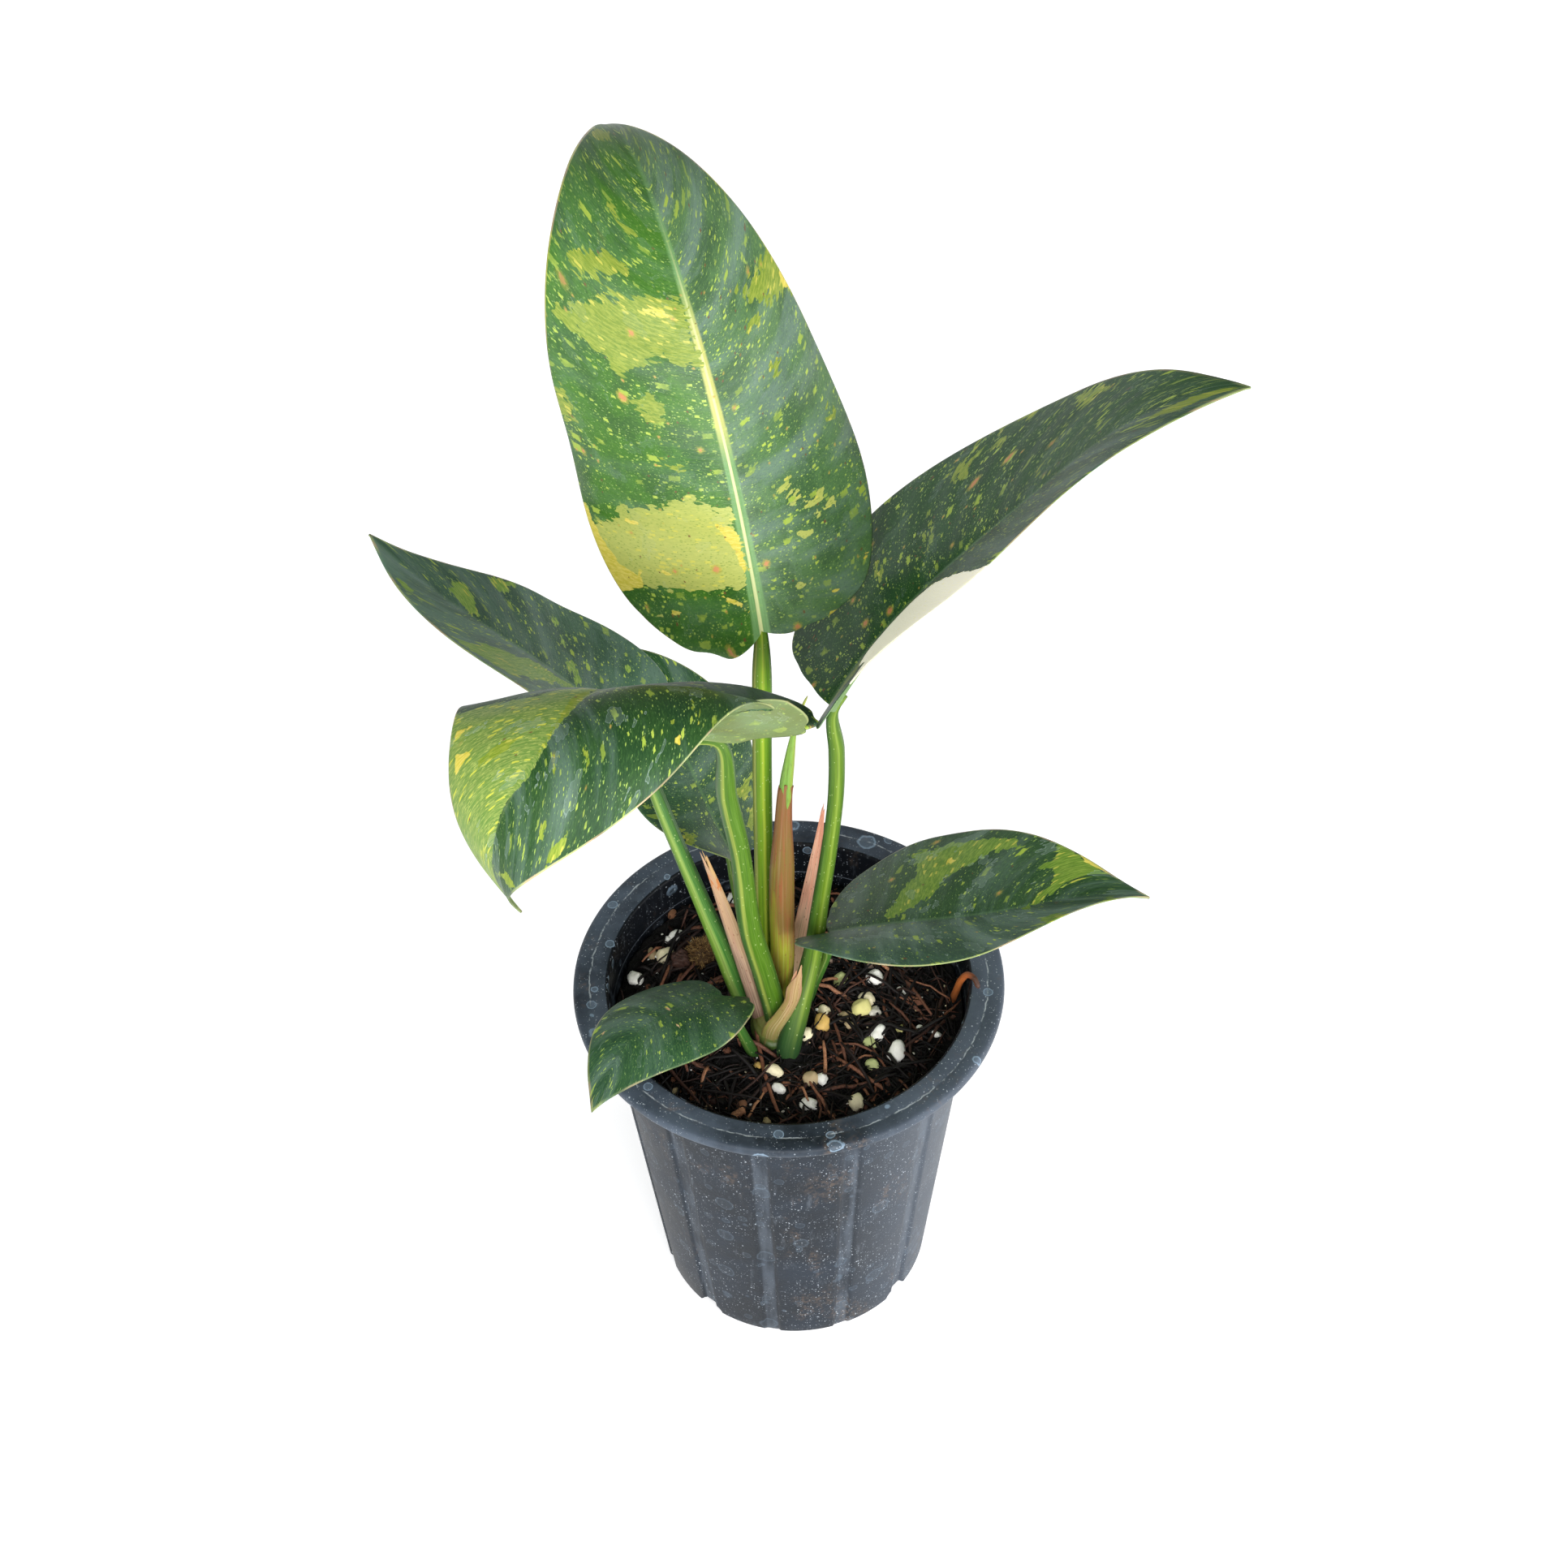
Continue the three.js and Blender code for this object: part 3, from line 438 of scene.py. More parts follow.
@dataclass(frozen=True)
class LeafSkin:
    """Finish of one leaf: its greens, how much of each marking it carries, and its painted sheen and glow."""

    # The half colours are the leaf's own greens; on the greyer or lighter half of some leaves (A's right, C's
    # left) they also hold painted sheen.
    left: Colour
    right: Colour
    flecks: float = 0.2
    spots: float = 0.0
    haze: float = 0.3
    # Share of the greyish painted sheen on the left and on the right half.
    film_and_sheen: tuple[float, float] = (0.3, 0.4)
    edge_steps: float = 1.0
    rib: Colour = (110, 150, 90)
    rib_width: float = 4.0
    rib_share: float = 0.3
    rib_line: float = 0.0
    rib_cream: float = 0.0
    gloss: float = 0.16
    # Strength of a painted glow: emission on the bright sectors of the upper side, in place of light through
    # the pale tissue.
    through: float = 0.0
    # Share of the whitish painted sheen on the lime sectors low on the leaf.
    low_lime_sheen: float = 0.0
    margin: Colour = (176, 186, 118)
    margin_share: float = 0.6
    back: Colour = (106, 130, 84)
    light: Colour = (104, 146, 74)
    lime: tuple[Colour, Colour] = ((118, 142, 42), (150, 164, 62))
    pale: tuple[Colour, Colour] = ((104, 138, 62), (142, 162, 82))
    bright: tuple[Colour, Colour] = ((204, 190, 66), (224, 208, 104))

    def material(self, name: str) -> Material:
        """Leaf skin whose markings run along the side veins.

        Args:
            name: the material's name.

        Returns:
            The material.
        """
        dye = Dye(name, "2D")
        along, across, under = dye.split(dye.attribute("vein"))
        depths = dye.split(dye.attribute("marks"))
        rib, edge, share = dye.split(dye.attribute("place"))
        flat = dye.join(along, across)
        grain = dye.fibres(flat, 2.0, 0.8, 4, 0.7)
        ragged = dye.minus(dye.fibres(flat, 2.4, 1.2), 0.5)
        self.green(dye, across, flat, grain)
        self.dashes(dye, flat, ragged)
        self.midrib(dye, flat, rib, share)
        glow = dye.times(self.sectors(dye, flat, depths, ragged, share), dye.minus(1.0, under))
        self.rim(dye, flat, edge)
        self.blemishes(dye, flat, ragged, share)
        back = dye.mix(dye.noise(flat, 0.12), self.back, (128, 150, 100))
        dye.lay(dye.mix(0.36, back, dye.colour), under)
        dye.bump(dye.plus(dye.times(grain, 0.7), dye.fibres(flat, 0.9, 0.12, 3)), 0.5, 0.2)
        rough = dye.plus(dye.times(grain, 0.2), 0.32, dye.times(under, 0.15))
        # Painted glow: the bright sectors emit light.
        return dye.finish(Roughness=rough, Specular_IOR_Level=self.gloss, Emission_Color=self.bright[1],
                             Emission_Strength=glow)

    def green(self, dye: Dye, across, flat, grain) -> None:
        """Greens of the two halves, clouded with darker green, with a greyish painted sheen in bands along
        the veins, and finely mottled.
        """
        side = dye.fade(across, -1.5, 1.5)
        dye.colour = dye.mix(side, self.left, self.right)
        cloud = dye.fade(dye.noise(flat, 0.06, 4, 0.6), 0.42, 0.62)
        dye.lay((20, 52, 34), cloud, 0.4)
        painted_sheen = dye.fade(dye.noise(dye.stretch(flat, (1.3, 0.28, 0)), 0.075, 4, 0.6), 0.4, 0.72)
        share = dye.plus(dye.times(side, self.film_and_sheen[1] - self.film_and_sheen[0]), self.film_and_sheen[0])
        # Painted sheen: greyish bands along the veins, stronger on one half, in place of the reflection of
        # the bright surroundings.
        dye.lay((120, 144, 134), painted_sheen, share)
        dye.lay(self.light, dye.fade(grain, 0.5, 0.72), 0.32)
        dye.lay((16, 44, 26), dye.fade(grain, 0.48, 0.3), 0.28)

    def dashes(self, dye: Dye, flat, ragged) -> None:
        """Dust, specks, dashes and blots of yellow green along the side veins."""
        patchy = dye.fade(dye.noise(flat, 0.07, 3, 0.6), 0.4, 0.6)
        patchy = dye.plus(dye.times(patchy, 0.5), 0.5)
        sizes = (
            ((2.6, 1.7, 0), 0.7, (148, 180, 104), 0.7),
            ((1.5, 0.9, 0), 0.6, (162, 190, 88), 0.95),
            ((0.75, 0.42, 0), 0.62, (172, 194, 78), 1.0),
            ((0.32, 0.17, 0), 0.42, (158, 182, 68), 1.0),
        )
        for by, share, paint, strength in sizes:
            mask = dye.flecks(flat, by, self.flecks * share, 0.34, ragged)
            dye.lay(paint, mask, patchy, strength)

    def sectors(self, dye: Dye, flat, depths, rough, share):
        """Pale, lime and bright sectors with stepped edges; returns a painted glow for the bright ones, an
        emission in place of light through the pale tissue.
        """
        coarse = dye.minus(dye.fibres(flat, 0.45, 0.2), 0.5)
        _, step = dye.cells(dye.stretch(flat, (0.62, 0.26, 0)), 1.0, square=True)
        ragged = dye.plus(dye.times(coarse, 5.0), dye.times(dye.minus(step, 0.5), 2.8))
        ragged = dye.times(ragged, self.edge_steps)
        streaks = dye.fade(dye.fibres(flat, 1.5, 0.34, 4, 0.7), 0.38, 0.64)
        speckle = dye.flecks(flat, (1.5, 0.7, 0), 0.4, 0.3, rough)
        dash = dye.flecks(flat, (0.75, 0.3, 0), 0.22, 0.34, rough)
        lime, pale, bright = (dye.mix(streaks, *pair) for pair in (self.lime, self.pale, self.bright))
        # Painted sheen: the lime turns whitish low on the leaf, where the blade faces the front.
        lime = dye.over(lime, (198, 200, 112), dye.fade(share, 0.46, 0.34), self.low_lime_sheen)
        layers = (
            (Mark.PALE, pale, ((speckle, 0.6, (186, 196, 104)), (dash, 0.9, (200, 202, 76))), 1.0),
            (Mark.LIME, lime, ((speckle, 0.45, (86, 130, 42)), (dash, 0.75, (204, 198, 84))), 1.0),
            (Mark.BRIGHT, bright, ((speckle, 0.15, (176, 184, 76)),), 0.35),
        )
        for mark, paint, speckles, raggedness in layers:
            for mask, strength, tint in speckles:
                paint = dye.over(paint, tint, mask, strength)
            steps = dye.times(ragged, raggedness)
            inside = dye.fade(dye.plus(depths[mark.value], steps), -0.12, 0.15)
            dye.lay(paint, inside)
        return dye.times(inside, self.through)

    def midrib(self, dye: Dye, flat, rib, share) -> None:
        """Light band of the midrib with a thin line in its middle."""
        width = dye.times(dye.minus(1.06, share), self.rib_width * 0.5)
        threads = dye.fade(dye.fibres(flat, 0.05, 3.0, 3), 0.35, 0.7)
        band = dye.over(self.rib, (70, 120, 62), threads, 0.35)
        cream = dye.times(dye.fade(share, 0.42, 0.5), dye.fade(share, 0.7, 0.6))
        band = dye.over(band, (206, 202, 112), cream, self.rib_cream)
        high = dye.minus(1.0, dye.times(dye.fade(share, 0.6, 0.85), 0.65))
        inside = dye.times(dye.fade(dye.minus(rib, width), 0.5, -0.4), high)
        dye.lay(band, inside, self.rib_share)
        line = dye.fade(dye.minus(rib, dye.times(width, 0.2)), 0.2, -0.1)
        dye.lay((216, 220, 156), line, dye.fade(share, 0.82, 0.5), self.rib_line)

    def rim(self, dye: Dye, flat, edge) -> None:
        """Thin pale line of the margin, in places pinkish, that comes and goes."""
        paint = dye.mix(dye.fade(dye.noise(flat, 0.12), 0.5, 0.6), self.margin, (206, 178, 140))
        there = dye.fade(dye.noise(flat, 0.05), 0.3, 0.6)
        dye.lay(paint, dye.fade(edge, 0.55, 0.2), self.margin_share, there)

    def blemishes(self, dye: Dye, flat, rough, share_along) -> None:
        """Orange spots with a yellow halo, brown specks, and pale rings left by water."""
        low = dye.fade(share_along, 0.74, 0.6)
        for scale, share in ((0.09, self.spots), (0.2, self.spots * 0.4)):
            distance, chance = dye.cells(flat, scale)
            chosen = dye.times(dye.math("LESS_THAN", chance, share), low)
            size = dye.plus(0.03, dye.times(chance, 0.45))
            away = dye.plus(dye.minus(distance, size), dye.times(rough, 0.14))
            dye.lay((176, 168, 66), dye.fade(away, 0.1, 0.0), chosen, 0.6)
            dye.lay((208, 136, 92), dye.fade(away, 0.02, -0.05), chosen, 0.85)
        brown = dye.flecks(flat, (0.5, 0.5, 0), self.spots * 0.12, 0.2, rough)
        dye.lay((112, 70, 44), brown, 0.8)
        pool = dye.noise(flat, 0.1, 3, 0.6)
        ring = dye.near(pool, 0.64, 0.009, 0.002)
        wash = dye.times(dye.fade(pool, 0.635, 0.645), 0.3)
        dye.lay((160, 182, 172), dye.math("MAXIMUM", ring, wash), self.haze * 0.5)


@dataclass(frozen=True)
class Half:
    """One half of a blade: half width and lobe in mm, then fold and curl in degrees from base to tip."""

    width: float
    lobe: float
    fold: Row
    curl: Row = (0, 0, 0)


@dataclass
class Leaf:
    """Blade grown along a curved midrib, as a closed sheet with raised ribs and sunken side veins."""

    name: str
    base: Point
    length: float
    pitch: Row
    heading: Row
    roll: Row
    left: Half
    right: Half
    skin: LeafSkin
    patches: tuple[Patch, ...] = ()
    vein_gap: float = 12.0
    thick: float = 0.8
    edge_thick: float = 0.5
    rib_depth: tuple[float, float] = (1.9, 0.3)
    rib_half: float = 2.2
    margin_wave: float = 0.8
    ripple: float = 0.12
    outline: tuple[tuple[float, float], ...] = (
        (-1, 0.28), (-0.72, 0.52), (0.02, 0.80), (0.14, 0.96), (0.28, 1),
        (0.46, 0.89), (0.64, 0.66), (0.80, 0.38), (0.92, 0.14), (1, 0),
    )
    near_rib: Row = (0, 0.35, 0.8, 1.4, 2.2, 3.2)
    near_edge: Row = (1.2, 0.5, 0)
    steps: int = 80

    def spine(self) -> tuple[Array, ...]:
        """Points, forward, side and up directions of the midrib at even steps."""
        u = np.linspace(0, 1, self.steps + 1)
        pitch, heading, roll = (np.radians(smooth(v, u)) for v in (self.pitch, self.heading, self.roll))
        flat = np.cos(pitch)
        along = np.stack([flat * np.cos(heading), flat * np.sin(heading), np.sin(pitch)], -1)
        level = np.stack([np.sin(heading), -np.cos(heading), 0 * heading], -1)
        above = np.cross(level, along)
        cos, sin = np.cos(roll)[:, None], np.sin(roll)[:, None]
        moves = (along[1:] + along[:-1]) / 2 * self.length / self.steps
        points = np.vstack([np.zeros(3), np.cumsum(moves, axis=0)]) + np.asarray(self.base)
        return points, along, level * cos - above * sin, above * cos + level * sin

    def foot(self) -> tuple[Array, Array, Array]:
        """Point, forward and up directions where the stalk meets the blade."""
        points, along, _, up = self.spine()
        return points[0], along[0], up[0]

    def across_shares(self, width: Array) -> Array:
        """Distances from the midrib of each column, for each row's half width in mm."""
        wide = width[:, None]
        first = np.asarray(self.near_rib)
        inner = np.minimum(first, wide * np.linspace(0, 0.3, len(first)))
        last = np.asarray(self.near_edge)
        outer = wide - np.minimum(last, wide * np.linspace(0.2, 0, len(last)))
        count = max(8, round(max(self.left.width, self.right.width) / 2))
        f = np.linspace(0, 1, count + 2)[1:-1]
        middle = inner[:, -1:] + (outer[:, :1] - inner[:, -1:]) * f
        return np.hstack([inner, middle, outer])

    def half_points(self, half: Half, sign: int, t: Array, spine) -> tuple[Array, ...]:
        """Points of one half, with the distances that its attributes need.

        Args:
            half: the half's sizes.
            sign: -1 for the left half, 1 for the right.
            t: shares along the outline, one per row.
            spine: what spine() returned.

        Returns:
            Points, distance from the rib, distance from the edge and share across, by row and column.
        """
        line = np.asarray(self.outline, float).copy()
        line[:2, 0] *= half.lobe / self.length
        edge = smooth(line, t)
        wide = half.width * edge[:, 1]
        out = self.across_shares(wide)
        s = out / np.maximum(wide[:, None], 1e-6)
        start = t**1.5
        bend = 0.6 + 0.8 * np.minimum(t / 0.3, 1)
        u = start[:, None] + (edge[:, :1] - start[:, None]) * s ** bend[:, None]
        round_off = min(half.lobe, 12) / self.length * np.exp(-((t / 0.035) ** 2))
        u = u + round_off[:, None] * (0.26 * s**8 - 0.2 * np.sin(math.pi * s**1.3))
        fold = np.radians(smooth(half.fold, (u + 0.1) / 1.1))
        curl = np.radians(smooth(half.curl, (u + 0.1) / 1.1)) / half.width
        curl = np.where(np.abs(curl) < 1e-7, 1e-7, curl)
        turn = curl * out
        lateral = (np.sin(fold + turn) - np.sin(fold)) / curl
        lift = (np.cos(fold) - np.cos(fold + turn)) / curl
        at, _, side, up = self.frames(spine, u)
        return at + side * (sign * lateral)[..., None] + up * lift[..., None], out, wide[:, None] - out, s

    def frames(self, spine, u: Array) -> list[Array]:
        """The midrib's point and directions at shares u, which may lie beyond its ends."""
        inside = np.clip(u, 0, 1)
        steps = np.linspace(0, 1, self.steps + 1)
        pick = [np.stack([np.interp(inside, steps, part[:, k]) for k in range(3)], -1) for part in spine]
        pick[0] = pick[0] + pick[1] * ((u - inside) * self.length)[..., None]
        return pick

    def build(self) -> Piece:
        """Makes the blade.

        Returns:
            The finished object with the attributes vein, marks and place.
        """
        rows = max(60, round(self.length / 1.4))
        t = np.linspace(0, 0.997, rows)
        spine = self.spine()
        sheets = [self.half_points(half, sign, t, spine) for half, sign in ((self.left, -1), (self.right, 1))]
        joined = [np.concatenate([a[:, :0:-1], b], axis=1) for a, b in zip(*sheets)]
        points, rib, edge, s = joined
        sign = np.concatenate([-np.ones(sheets[0][1].shape[1] - 1), np.ones(sheets[1][1].shape[1])])
        nu = t[:, None] - 0.09 * s**1.3 * np.minimum(t / 0.25, 1)[:, None]
        across, run = self.true_lengths(points, sheets[0][1].shape[1] - 1)
        vein = np.interp(nu, t, run) + np.minimum(nu, 0) * self.length
        normal = self.normals(points)
        points = points + normal * self.relief(t[:, None], vein, rib, edge, s)[..., None]
        thick = self.edge_thick + (self.thick - self.edge_thick) * np.clip(edge / 6, 0, 1)
        thick = thick * np.where(edge < 0.05, 0.45, 1)
        keel = self.rib_depth[0] + (self.rib_depth[1] - self.rib_depth[0]) * t[:, None]
        half_rib = self.rib_half * (1.05 - 0.8 * t[:, None])
        swell = keel * np.sqrt(np.clip(1 - (rib / half_rib) ** 2, 0, 1))
        top = points + normal * (thick / 2)[..., None]
        under = points - normal * (thick / 2 + swell)[..., None]
        piece = new_object(self.name, np.vstack([top.reshape(-1, 3), under.reshape(-1, 3)]),
                           self.faces(*rib.shape))
        flat = [np.tile(grid.ravel(), 2) for grid in (vein, across, rib, edge, t[:, None] + 0 * rib)]
        below = np.repeat([0.0, 1.0], rib.size)
        put_attribute(piece, "vein", np.stack([flat[0], flat[1], below], -1))
        put_attribute(piece, "place", np.stack(flat[2:], -1))
        place = np.stack([(t[:, None] + 0 * s).ravel() * self.length, (s * sign).ravel() * self.left.width],
                         -1)
        put_attribute(piece, "marks", np.tile(self.depths(place), (2, 1)))
        return piece

    def true_lengths(self, points: Array, rib_column: int) -> tuple[Array, Array]:
        """Distances in mm on the blade, so that its markings keep their size.

        Args:
            points: the blade's grid of points.
            rib_column: the column on the midrib.

        Returns:
            Distance from the midrib along each row, minus on the left, and of each row from the first.
        """
        steps = np.linalg.norm(np.diff(points, axis=1), axis=-1)
        across = np.hstack([np.zeros((len(points), 1)), np.cumsum(steps, axis=1)])
        across -= across[:, rib_column : rib_column + 1]
        down = np.diff(points, axis=0)[:, 2:-2:4]
        heading = unit(np.gradient(points, axis=1))[:-1, 2:-2:4]
        gaps = np.linalg.norm(np.cross(down, heading), axis=-1).mean(1)
        return across, np.concatenate([[0], np.cumsum(gaps)])

    def normals(self, points: Array) -> Array:
        """Unit normals on the upper side of a grid of points."""
        rows = np.gradient(points, axis=0)
        columns = np.gradient(points, axis=1)
        return unit(np.cross(columns, rows))

    def relief(self, t, vein, rib, edge, s) -> Array:
        """Height in mm of the ripples between side veins, the groove of the midrib and the wavy margin."""
        phase = 2 * math.pi * vein / self.vein_gap
        room = np.clip((rib - 2) / 9, 0, 1) * np.clip(edge / 9, 0, 1)
        ripple = (self.ripple * np.cos(phase) - 0.07 * np.exp(-((np.sin(phase / 2)) ** 2) / 0.02)) * room
        groove = 0.2 * np.exp(-((rib / 0.5) ** 2)) - 0.35 * np.exp(-((rib / 2.6) ** 2))
        groove = groove * (1.1 - t)
        wave = self.margin_wave * s**3 * np.sin(9.2 * t * self.length / 100 + 1.7) * np.sin(math.pi * t)
        return ripple + groove + wave

    def faces(self, rows: int, columns: int) -> list:
        """Faces of the closed sheet: upper grid, lower grid, and the strip round the edge."""
        top = np.arange(rows * columns).reshape(rows, columns)
        low = top + rows * columns
        upper = np.stack([top[:-1, :-1], top[:-1, 1:], top[1:, 1:], top[1:, :-1]], -1)
        lower = np.stack([low[:-1, :-1], low[1:, :-1], low[1:, 1:], low[:-1, 1:]], -1)
        ring_top = np.concatenate([top[0, :-1], top[:-1, -1], top[-1, :0:-1], top[:0:-1, 0]])
        ring_low = np.concatenate([low[0, :-1], low[:-1, -1], low[-1, :0:-1], low[:0:-1, 0]])
        after_top, after_low = np.roll(ring_top, -1), np.roll(ring_low, -1)
        strip = np.stack([ring_top, ring_low, after_low, after_top], -1)
        return np.vstack([upper.reshape(-1, 4), lower.reshape(-1, 4), strip]).tolist()

    def depths(self, place: Array) -> Array:
        """Depth in mm inside the nearest patch of each kind, minus outside.

        Args:
            place: rows of mm along the leaf and mm across it.

        Returns:
            One row of three depths per vertex.
        """
        result = np.full((len(place), 3), -40.0)
        for patch in self.patches:
            corners = np.asarray(patch.outline) * (self.length, self.left.width)
            depth = inside_depth(place, corners)
            kind = patch.mark.value
            result[:, kind] = np.maximum(result[:, kind], depth)
        return result


def inside_depth(place: Array, corners: Array) -> Array:
    """Distance of points to a polygon's outline, plus inside and minus outside."""
    nearest = np.full(len(place), 1e9)
    crossings = np.zeros(len(place), int)
    for a, b in zip(corners, np.roll(corners, -1, axis=0)):
        edge = b - a
        share = np.clip(((place - a) @ edge) / max(edge @ edge, 1e-9), 0, 1)
        nearest = np.minimum(nearest, np.linalg.norm(place - a - share[:, None] * edge, axis=1))
        if a[1] == b[1]:
            continue
        crossed = (a[1] > place[:, 1]) != (b[1] > place[:, 1])
        x = a[0] + (place[:, 1] - a[1]) * edge[0] / edge[1]
        crossings += crossed & (place[:, 0] < x)
    return np.where(crossings % 2 == 1, nearest, -nearest)


# Stems
FRONT = (0, -1, 0)


def full_turn(sides: int) -> Array:
    """Angles of the corners of a section, from -180 degrees, in radians."""
    return 2 * math.pi * np.arange(sides) / sides - math.pi


def wrapped(angle):
    """Angle brought into the half turn on either side of 0."""
    return (angle + math.pi) % (2 * math.pi) - math.pi


def round_tube(name: str, points: Array, reach: Array) -> Piece:
    """Closed tube round a curve, whose UV front (u 0.5) faces -Y.

    Args:
        name: the piece's name.
        points: the curve's points in mm.
        reach: radius by point and corner.

    Returns:
        The finished object with a UV that runs round and along it.
    """
    _, front, right = path_frames(points, FRONT)
    angle = full_turn(reach.shape[1])
    rows = points[:, None] + front[:, None] * (np.cos(angle) * reach)[..., None]
    rows = rows + right[:, None] * (np.sin(angle) * reach)[..., None]
    return loft(name, rows, lengths_along(points))


@dataclass(frozen=True)
class StalkSkin:
    """Finish of a leaf stalk: colours round it, from its left side over its front to its right, which hold
    its own stripes and painted shading, lighter across the front and darker round the back.
    """

    stops: Stops
    foot: Colour = (40, 74, 30)

    def material(self, name: str) -> Material:
        """Glossy fibrous skin with stripes along the stalk."""
        dye = Dye(name, "2D")
        wrap = dye.wrap()
        around, along, _ = dye.split(wrap)
        sway = dye.minus(dye.noise(dye.join(0.0, along), 0.02), 0.5)
        dye.colour = dye.ramp(dye.plus(around, dye.times(sway, 0.05)), self.stops)
        fibres = dye.fibres(wrap, 60, 0.06, 3)
        dye.lay((134, 158, 78), dye.fade(fibres, 0.4, 0.75), 0.2)
        dark = dye.fade(dye.fibres(wrap, 22, 0.02), 0.5, 0.75)
        dye.lay((30, 60, 26), dark, 0.4)
        dye.lay(self.foot, dye.fade(along, 34.0, 6.0), 0.88)
        speck = dye.dots(dye.stretch(wrap, (26, 0.9, 0)), 1.0, 0.05, 0.3)
        dye.lay((190, 205, 140), speck, 0.5)
        rough = dye.plus(dye.times(fibres, 0.2), 0.3)
        dye.bump(fibres, 0.4, 0.2)
        return dye.finish(Roughness=rough, Specular_IOR_Level=0.18)


@dataclass
class Stalk:
    """Leaf stalk, grooved on the side towards the plant's middle, that ends under its blade's rib."""

    name: str
    path: list[Point]
    radii: Row
    leaf: Leaf
    skin: StalkSkin
    sides: int = 32
    groove: float = 0.16

    def full_path(self) -> list[Point]:
        """The path with the two points that carry it under the blade."""
        at, along, up = self.leaf.foot()
        head = self.radii[-2]
        join = at - up * 0.75 * head - along * 0.4 * head
        end = at - up * 0.9 * head + along * 2 * head
        return [*self.path, tuple(join), tuple(end)]

    def build(self) -> Piece:
        """Makes the stalk.

        Returns:
            The finished object, whose UV front (u 0.5) faces -Y.
        """
        rings = 90
        points = centripetal(self.full_path(), rings)
        _, front, right = path_frames(points, FRONT)
        lengths = lengths_along(points)
        inward = -points * (1, 1, 0)
        middle = np.arctan2((inward * right).sum(1), (inward * front).sum(1))
        gap = wrapped(full_turn(self.sides)[None, :] - middle[:, None])
        room = np.clip(lengths / 30, 0, 1) * np.clip((lengths[-1] - lengths) / 12, 0, 1)
        dip = 1 - self.groove * room[:, None] * np.exp(-((gap / 0.42) ** 2))
        return round_tube(self.name, points, smooth(self.radii, np.linspace(0, 1, rings))[:, None] * dip)


@dataclass(frozen=True)
class SheathSkin:
    """Finish of a papery sheath: foot, middle and top colours, and its scars."""

    foot: Colour
    middle: Colour
    top: Colour
    vein: Colour = (150, 92, 74)
    side: Colour = (196, 160, 150)
    side_share: float = 0.4
    light_share: float = 0.3
    scar: float = -20.0

    def material(self, name: str, length: float) -> Material:
        """Satin skin with fine fibre lines, a tinted side and a few dark freckles."""
        dye = Dye(name, "2D")
        wrap = dye.wrap()
        around, along, _ = dye.split(wrap)
        cloud = dye.minus(dye.fibres(wrap, 5, 0.03), 0.5)
        climb = dye.plus(dye.math("DIVIDE", along, length), cloud)
        dye.colour = dye.ramp(climb, ((0.15, *self.foot), (0.5, *self.middle), (0.92, *self.top)))
        fibres = dye.fibres(wrap, 70, 0.05, 3)
        dye.lay(self.vein, dye.fade(fibres, 0.46, 0.7), 0.5)
        turned = dye.fade(dye.math("SINE", dye.times(around, 6.283)), 0.0, 0.9)
        dye.lay(self.side, turned, self.side_share)
        light = dye.fade(dye.fibres(wrap, 40, 0.02), 0.5, 0.75)
        dye.lay((226, 200, 166), light, self.light_share)
        freckle = dye.dots(dye.stretch(wrap, (14, 0.4, 0)), 1.0, 0.12, 0.25)
        dye.lay((120, 70, 48), freckle, 0.5)
        scarred = dye.near(along, self.scar, 4.5, 3.0)
        ragged = dye.fade(dye.fibres(wrap, 9, 0.2), 0.5, 0.56)
        dye.lay((176, 104, 50), scarred, ragged, 0.85)
        dye.bump(fibres, 0.45, 0.25)
        return dye.finish(Roughness=0.5, Specular_IOR_Level=0.25)


@dataclass
class Sheath:
    """Sheath left by an earlier leaf: a gutter, or a closed roll, with a torn top."""

    name: str
    path: list[Point]
    half: Row
    deep: Row
    opening: float
    skin: SheathSkin
    rolled: bool = False
    torn: float = 0.05
    seed: int = 1

    def section(self, wide: float, thick: float) -> Array:
        """Outline of one section, across and up, anticlockwise seen from the far end."""
        if self.rolled:
            angle = np.linspace(0, 2 * math.pi, 49)[:-1]
            seam = 1 - 0.12 * np.exp(-(((angle - 1.9) / 0.16) ** 2))
            return np.stack([np.cos(angle) * wide * seam, np.sin(angle) * thick * seam], -1)
        outer = np.linspace(-1, 1, 25)
        inner = np.linspace(0.95, -0.95, 23)
        bow_out = -(1 - outer**2) * wide * 0.5 - thick * (0.5 - 0.42 * outer**2)
        bow_in = -(1 - inner**2) * wide * 0.5 + thick * (0.5 - 0.42 * inner**2)
        return np.vstack([np.stack([outer * wide, bow_out], -1), np.stack([inner * wide, bow_in], -1)])

    def build(self) -> Piece:
        """Makes the sheath.

        Returns:
            The finished object with a UV that runs round and along it.
        """
        chance = np.random.default_rng(self.seed)
        rings = 80
        points = centripetal(self.path, rings)
        turn = math.radians(self.opening)
        along, up, _ = path_frames(points, (math.cos(turn), math.sin(turn), 0))
        across = np.cross(up, along)
        v = np.linspace(0, 1, rings)
        wide, thick = smooth(self.half, v), smooth(self.deep, v)
        outlines = np.stack([self.section(w, d) for w, d in zip(wide, thick)])
        sides = outlines.shape[1]
        turn = full_turn(sides) + math.pi
        waves = sum(chance.normal() * np.cos(k * turn + chance.random() * 6) / k for k in range(1, 9))
        tear = self.torn * np.clip(waves - waves.min(), 0, 3)
        share = v[:, None] * (1 - tear[None, :] * v[:, None] ** 3)
        pick = [np.stack([np.interp(share, v, part[:, k]) for k in range(3)], -1) for part in (points, across,
                                                                                               up)]
        rows = pick[0] + pick[1] * outlines[..., :1] + pick[2] * outlines[..., 1:]
        return loft(self.name, rows, lengths_along(points))


